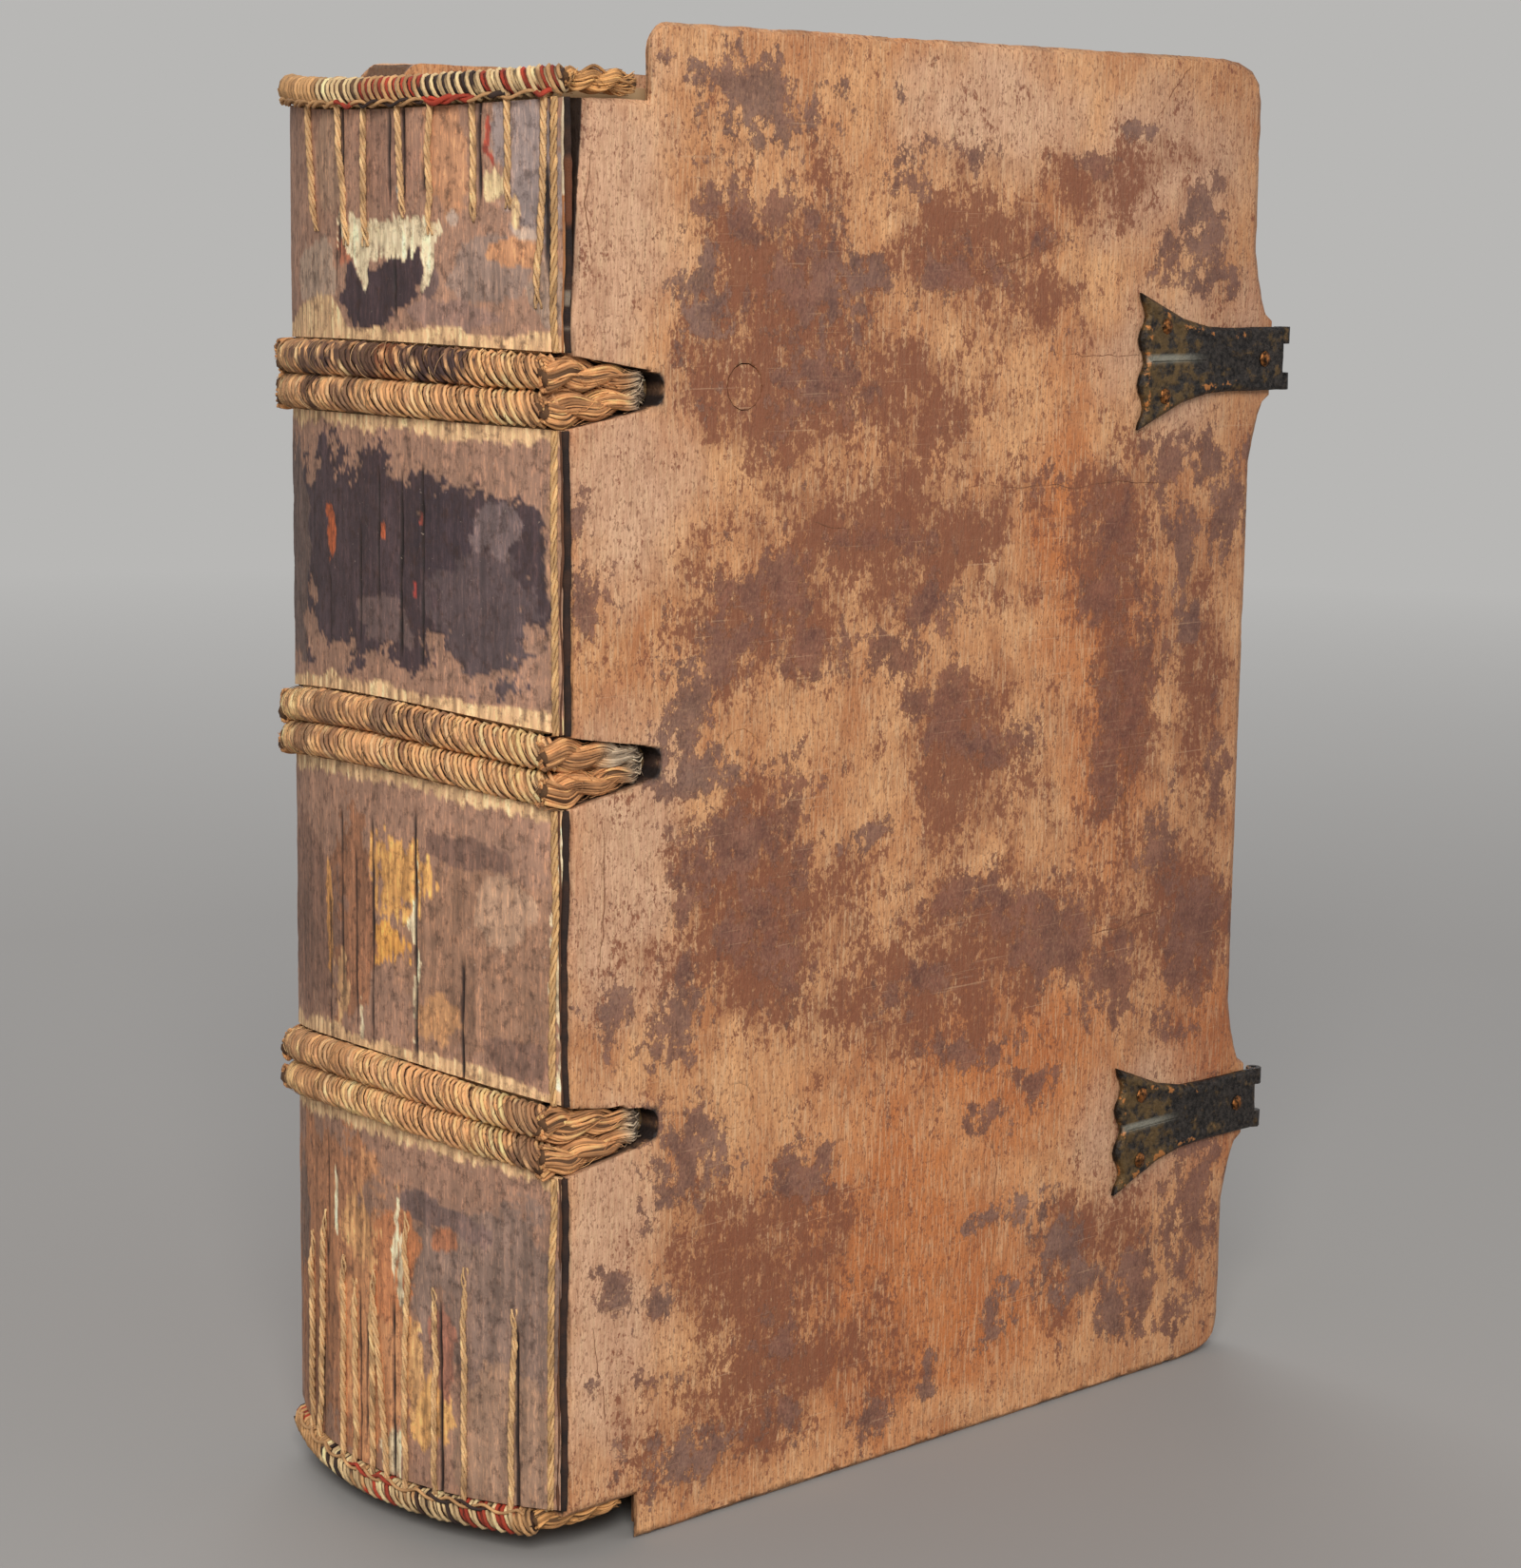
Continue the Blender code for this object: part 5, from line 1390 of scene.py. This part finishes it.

# %% [markdown]
# The endband cores run on past the endbands, into notches in the boards, and end there in a frayed knot.
# They too cross the joint, so like the slips they are given to neither body.

# %% Core ends
core_steps, core_radius = 36, 1.45 * mm
for name, side in (("front", -1), ("back", 1)):
    notch = 10.0 if name == "front" else 8.8
    for word, height, reach in (("headband", 158.7 * mm, notch), ("tailband", 4.8 * mm, 9.5)):
        start_share = 0.02 if word == "headband" else 0.08
        start_z = endbands[word][0]
        start = on_spine(start_share if side < 0 else 1 - start_share, -0.3 * mm, start_z)
        stops = [
            (joint + x * mm, side * (half_thick - depth * mm), height)
            for x, depth in ((1.2, 2.0), (4, 2.0), (reach - 0.6, 2.1))
        ]
        knots = np.array([start, *stops])
        run = np.linspace(0, 3, core_steps)
        centre = np.stack([np.interp(run, range(4), knots[:, i]) for i in range(3)], axis=1)
        skein = Skein()
        half = np.full(core_steps, core_radius)
        rope(
            skein, centre, np.array((0, side, 0)), up, half, half, 6.5 * mm,
            lambda r: np.tile(np.array((200, 150, 98), float), (len(r), 1)), 400 + side, fray=0.35,
        )
        core_end = f"{name}_{word}_core"
        skein.piece(f"{core_end}_end", hemp_cord, across_joint(name, side), "cord", [core_end])
print("4 core ends")

# %% [markdown]
# ## The leaves
#
# The text block is hundreds of leaves. Slicing its solid once for every leaf and pushing each slice in or
# out by chance gives the ribbed look of old leaf edges, also where the book is opened.

# %% Text block
def leaf_finish():
    paper = Recipe("leaf_edges", 0.92)
    line = paper.cloud(0.16 * mm, (400, 1, 400), 2, 0.5)
    age = paper.cloud(40 * mm, (1, 1, 1), 5, 0.5, 2.0)
    base = paper.mix(paper.step(age, 0.35, 0.75), shade(214, 186, 144), shade(188, 152, 110))
    lined = paper.coat(base, shade(124, 90, 60), line, 0.42, 0.62, 0.5)
    return paper.finish(lined, None, paper.relief(line, 0.15 * mm))


leaf_edges = leaf_finish()
leaf_thick = 0.26 * mm
leaves = fine_copy("text_block", "leaf_block", ((1, leaf_thick), (2, 8 * mm), (0, 8 * mm)))
points, normals = surface_of(leaves)
number = np.round(points[:, 1] / leaf_thick)
leaf, gathering = as_points(number), as_points(np.floor(number / 8))
push = 0.10 * mm * swells(leaf * 7.7, 1, 81) + 0.10 * mm * swells(gathering * 5.3, 1, 83)
push += 0.10 * mm * swells(points, 25 * mm, 85)
outside = (np.abs(normals[:, 2]) > 0.7) | (points[:, 0] > joint + 90 * mm)
move_points(leaves, points + normals * (push * outside)[:, None])
leaves.data.materials.append(leaf_edges)
smooth(leaves, 30)
carry(leaves, "book_block", ["text_block"])
print(leaves.name, len(leaves.data.polygons), "faces")

# %% [markdown]
# ## Pastedowns and laced ends
#
# A sheet of paper is pasted over the inner side of each board and over the fanned ends of the cords.
# These shapes are right as they are in the frame, so they only get a finish.

# %% Plain pieces
def dress(words, material):
    """Gives the frame's own nodes whose names hold one of these words a better material."""
    for node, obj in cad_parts.items():
        if any(word in node for word in words):
            obj.data.materials.clear()
            obj.data.materials.append(material)


sheet = Recipe("pastedown_paper", 0.92)
foxing = sheet.cloud(26 * mm, (1, 1, 1), 6, 0.55)
laid = sheet.cloud(0.5 * mm, (1, 1, 30), 2, 0.5, 3.0)
aged = sheet.mix(sheet.step(foxing, 0.4, 0.75), shade(210, 188, 150), shade(176, 142, 102))
spotted = sheet.coat(aged, shade(150, 100, 62), sheet.cloud(3 * mm, seed=5.0), 0.68, 0.76, 0.6)
sheet.finish(spotted, None, sheet.relief(laid, 0.08 * mm))
dress(["_pastedown"], sheet.material)
fan = Recipe("fanned_hemp", 0.9)
fibres = fan.cloud(0.22 * mm, (20, 1, 1), 3, 0.6)
fan_tone = fan.mix(fibres, shade(150, 112, 72), shade(204, 168, 120))
fan.finish(fan_tone, None, fan.relief(fibres, 0.25 * mm))
dress(["_laced_end_"], fan.material)
print("pastedowns and laced ends dressed")

# %% [markdown]
# ## The catches
#
# The catches are sheet brass gone almost black, with yellow metal coming through where hands and straps
# rubbed it. Each is sliced finely from its solid, hammered a little uneven, and its edges are worn bright.

# %% Catches
def brass_finish(name):
    brass = Recipe(name, 0.5, metallic=0.6)
    film = brass.cloud(2.0 * mm, (1, 1, 1), 6, 0.68)
    fleck = brass.cloud(0.55 * mm, (1, 1, 1), 5, 0.62, 7.0)
    dull = brass.mix(brass.step(fleck, 0.38, 0.62), shade(22, 19, 18), shade(66, 59, 54))
    ochre = brass.mix(fleck, shade(66, 50, 30), shade(142, 112, 66))
    mossy = brass.coat(dull, ochre, brass.sum(brass.times(brass.mark("worn"), 0.14), film), 0.55, 0.67, 0.80)
    bare = brass.sum(brass.times(film, 0.6), brass.times(fleck, 0.55))
    bare = brass.sum(brass.times(brass.mark("rub"), 0.30), bare)
    bright = brass.coat(mossy, shade(190, 124, 66), bare, 0.74, 0.80, 0.9)
    # Pale on the groove's upper flank: partly its own pale tone, partly a painted highlight of the lit flank
    pale = brass.mix(brass.times(brass.mark("groove"), 0.75), bright, shade(164, 160, 144))
    # Near black at the catch's left edge: painted shade, for the edge's thickness in shadow
    tone = brass.mix(brass.mark("shade_and_grime"), pale, shade(18, 14, 12))
    height = brass.sum(film, brass.times(fleck, 0.8))
    return brass.finish(tone, brass.step(film, 0.3, 0.7, 0.35, 0.65), brass.relief(height, 0.25 * mm))


dark_brass = brass_finish("dark_brass")
catch_start, catch_long, catch_half = joint + 87.4 * mm, 27, 8.2
catch_centre = {"upper": 0.78 * board_height, "lower": 0.2012 * board_height}
# The outline of a catch: shares of its length, and shares of its half width there
outline = (0, 0.13, 0.29, 0.46, 0.60, 1), (1, 0.83, 0.62, 0.50, 0.475, 0.475)
for word, height in catch_centre.items():
    node = f"{word}_catch"
    catch = fine_copy(node, f"{word}_catch_worn", ((0, 0.4 * mm), (2, 0.4 * mm)))
    points, normals = surface_of(catch)
    along, across = (points[:, 0] - catch_start) / mm, np.abs(points[:, 2] - height) / mm
    side = np.interp(along / catch_long, outline[0], catch_half * np.array(outline[1]))
    inside = np.minimum(side - across, along - 0.3)
    outer = normals[:, 1] < -0.5
    rim = ease(inside, 0.2, 0.7) * ease(-inside, -1.7, -1.1) * (along < 20) * outer
    # The pale groove line lies on the upper flank only: partly a painted highlight where that flank is lit
    groove = ease(-np.abs(points[:, 2] - height - 0.3 * mm) / mm, -0.62, -0.25) * ease(-along, -12.5, -6) * outer
    dents = 0.07 * mm * ragged(points, 2.5 * mm, 90) * np.abs(normals[:, 1]) + 0.16 * mm * rim
    edge = np.clip(1 - np.abs(normals[:, 1]), 0, 1)
    values = {
        "rub": np.clip(0.5 * edge + 0.8 * rim * ease(ragged(points, 2 * mm, 93), -0.3, 0.8), 0, 1),
        "groove": groove * (1 - 0.4 * edge),
        "worn": ease(-along, -13, -7) * (1 - groove),
        # A dark band along the left edge: painted shade for the edge's thickness in shadow
        "shade_and_grime": 0.9 * ease(-inside, -0.30, 0.0) * (along < 3),
    }
    move_points(catch, points + normals * dents[:, None])
    catch.data.materials.append(dark_brass)
    smooth(catch, 35)
    carry(catch, "front_cover", [node], values)
    print(catch.name, len(catch.data.polygons), "faces")
rivet = Recipe("rivet_brass", 0.4, metallic=1.0)
rivet_film = rivet.cloud(0.6 * mm, (1, 1, 1), 4, 0.6)
rivet_tone = rivet.coat(shade(168, 108, 60), shade(58, 42, 30), rivet_film, 0.40, 0.60)
rivet.finish(rivet_tone, None, rivet.relief(rivet_film, 0.06 * mm))
dress(["_rivet_"], rivet.material)
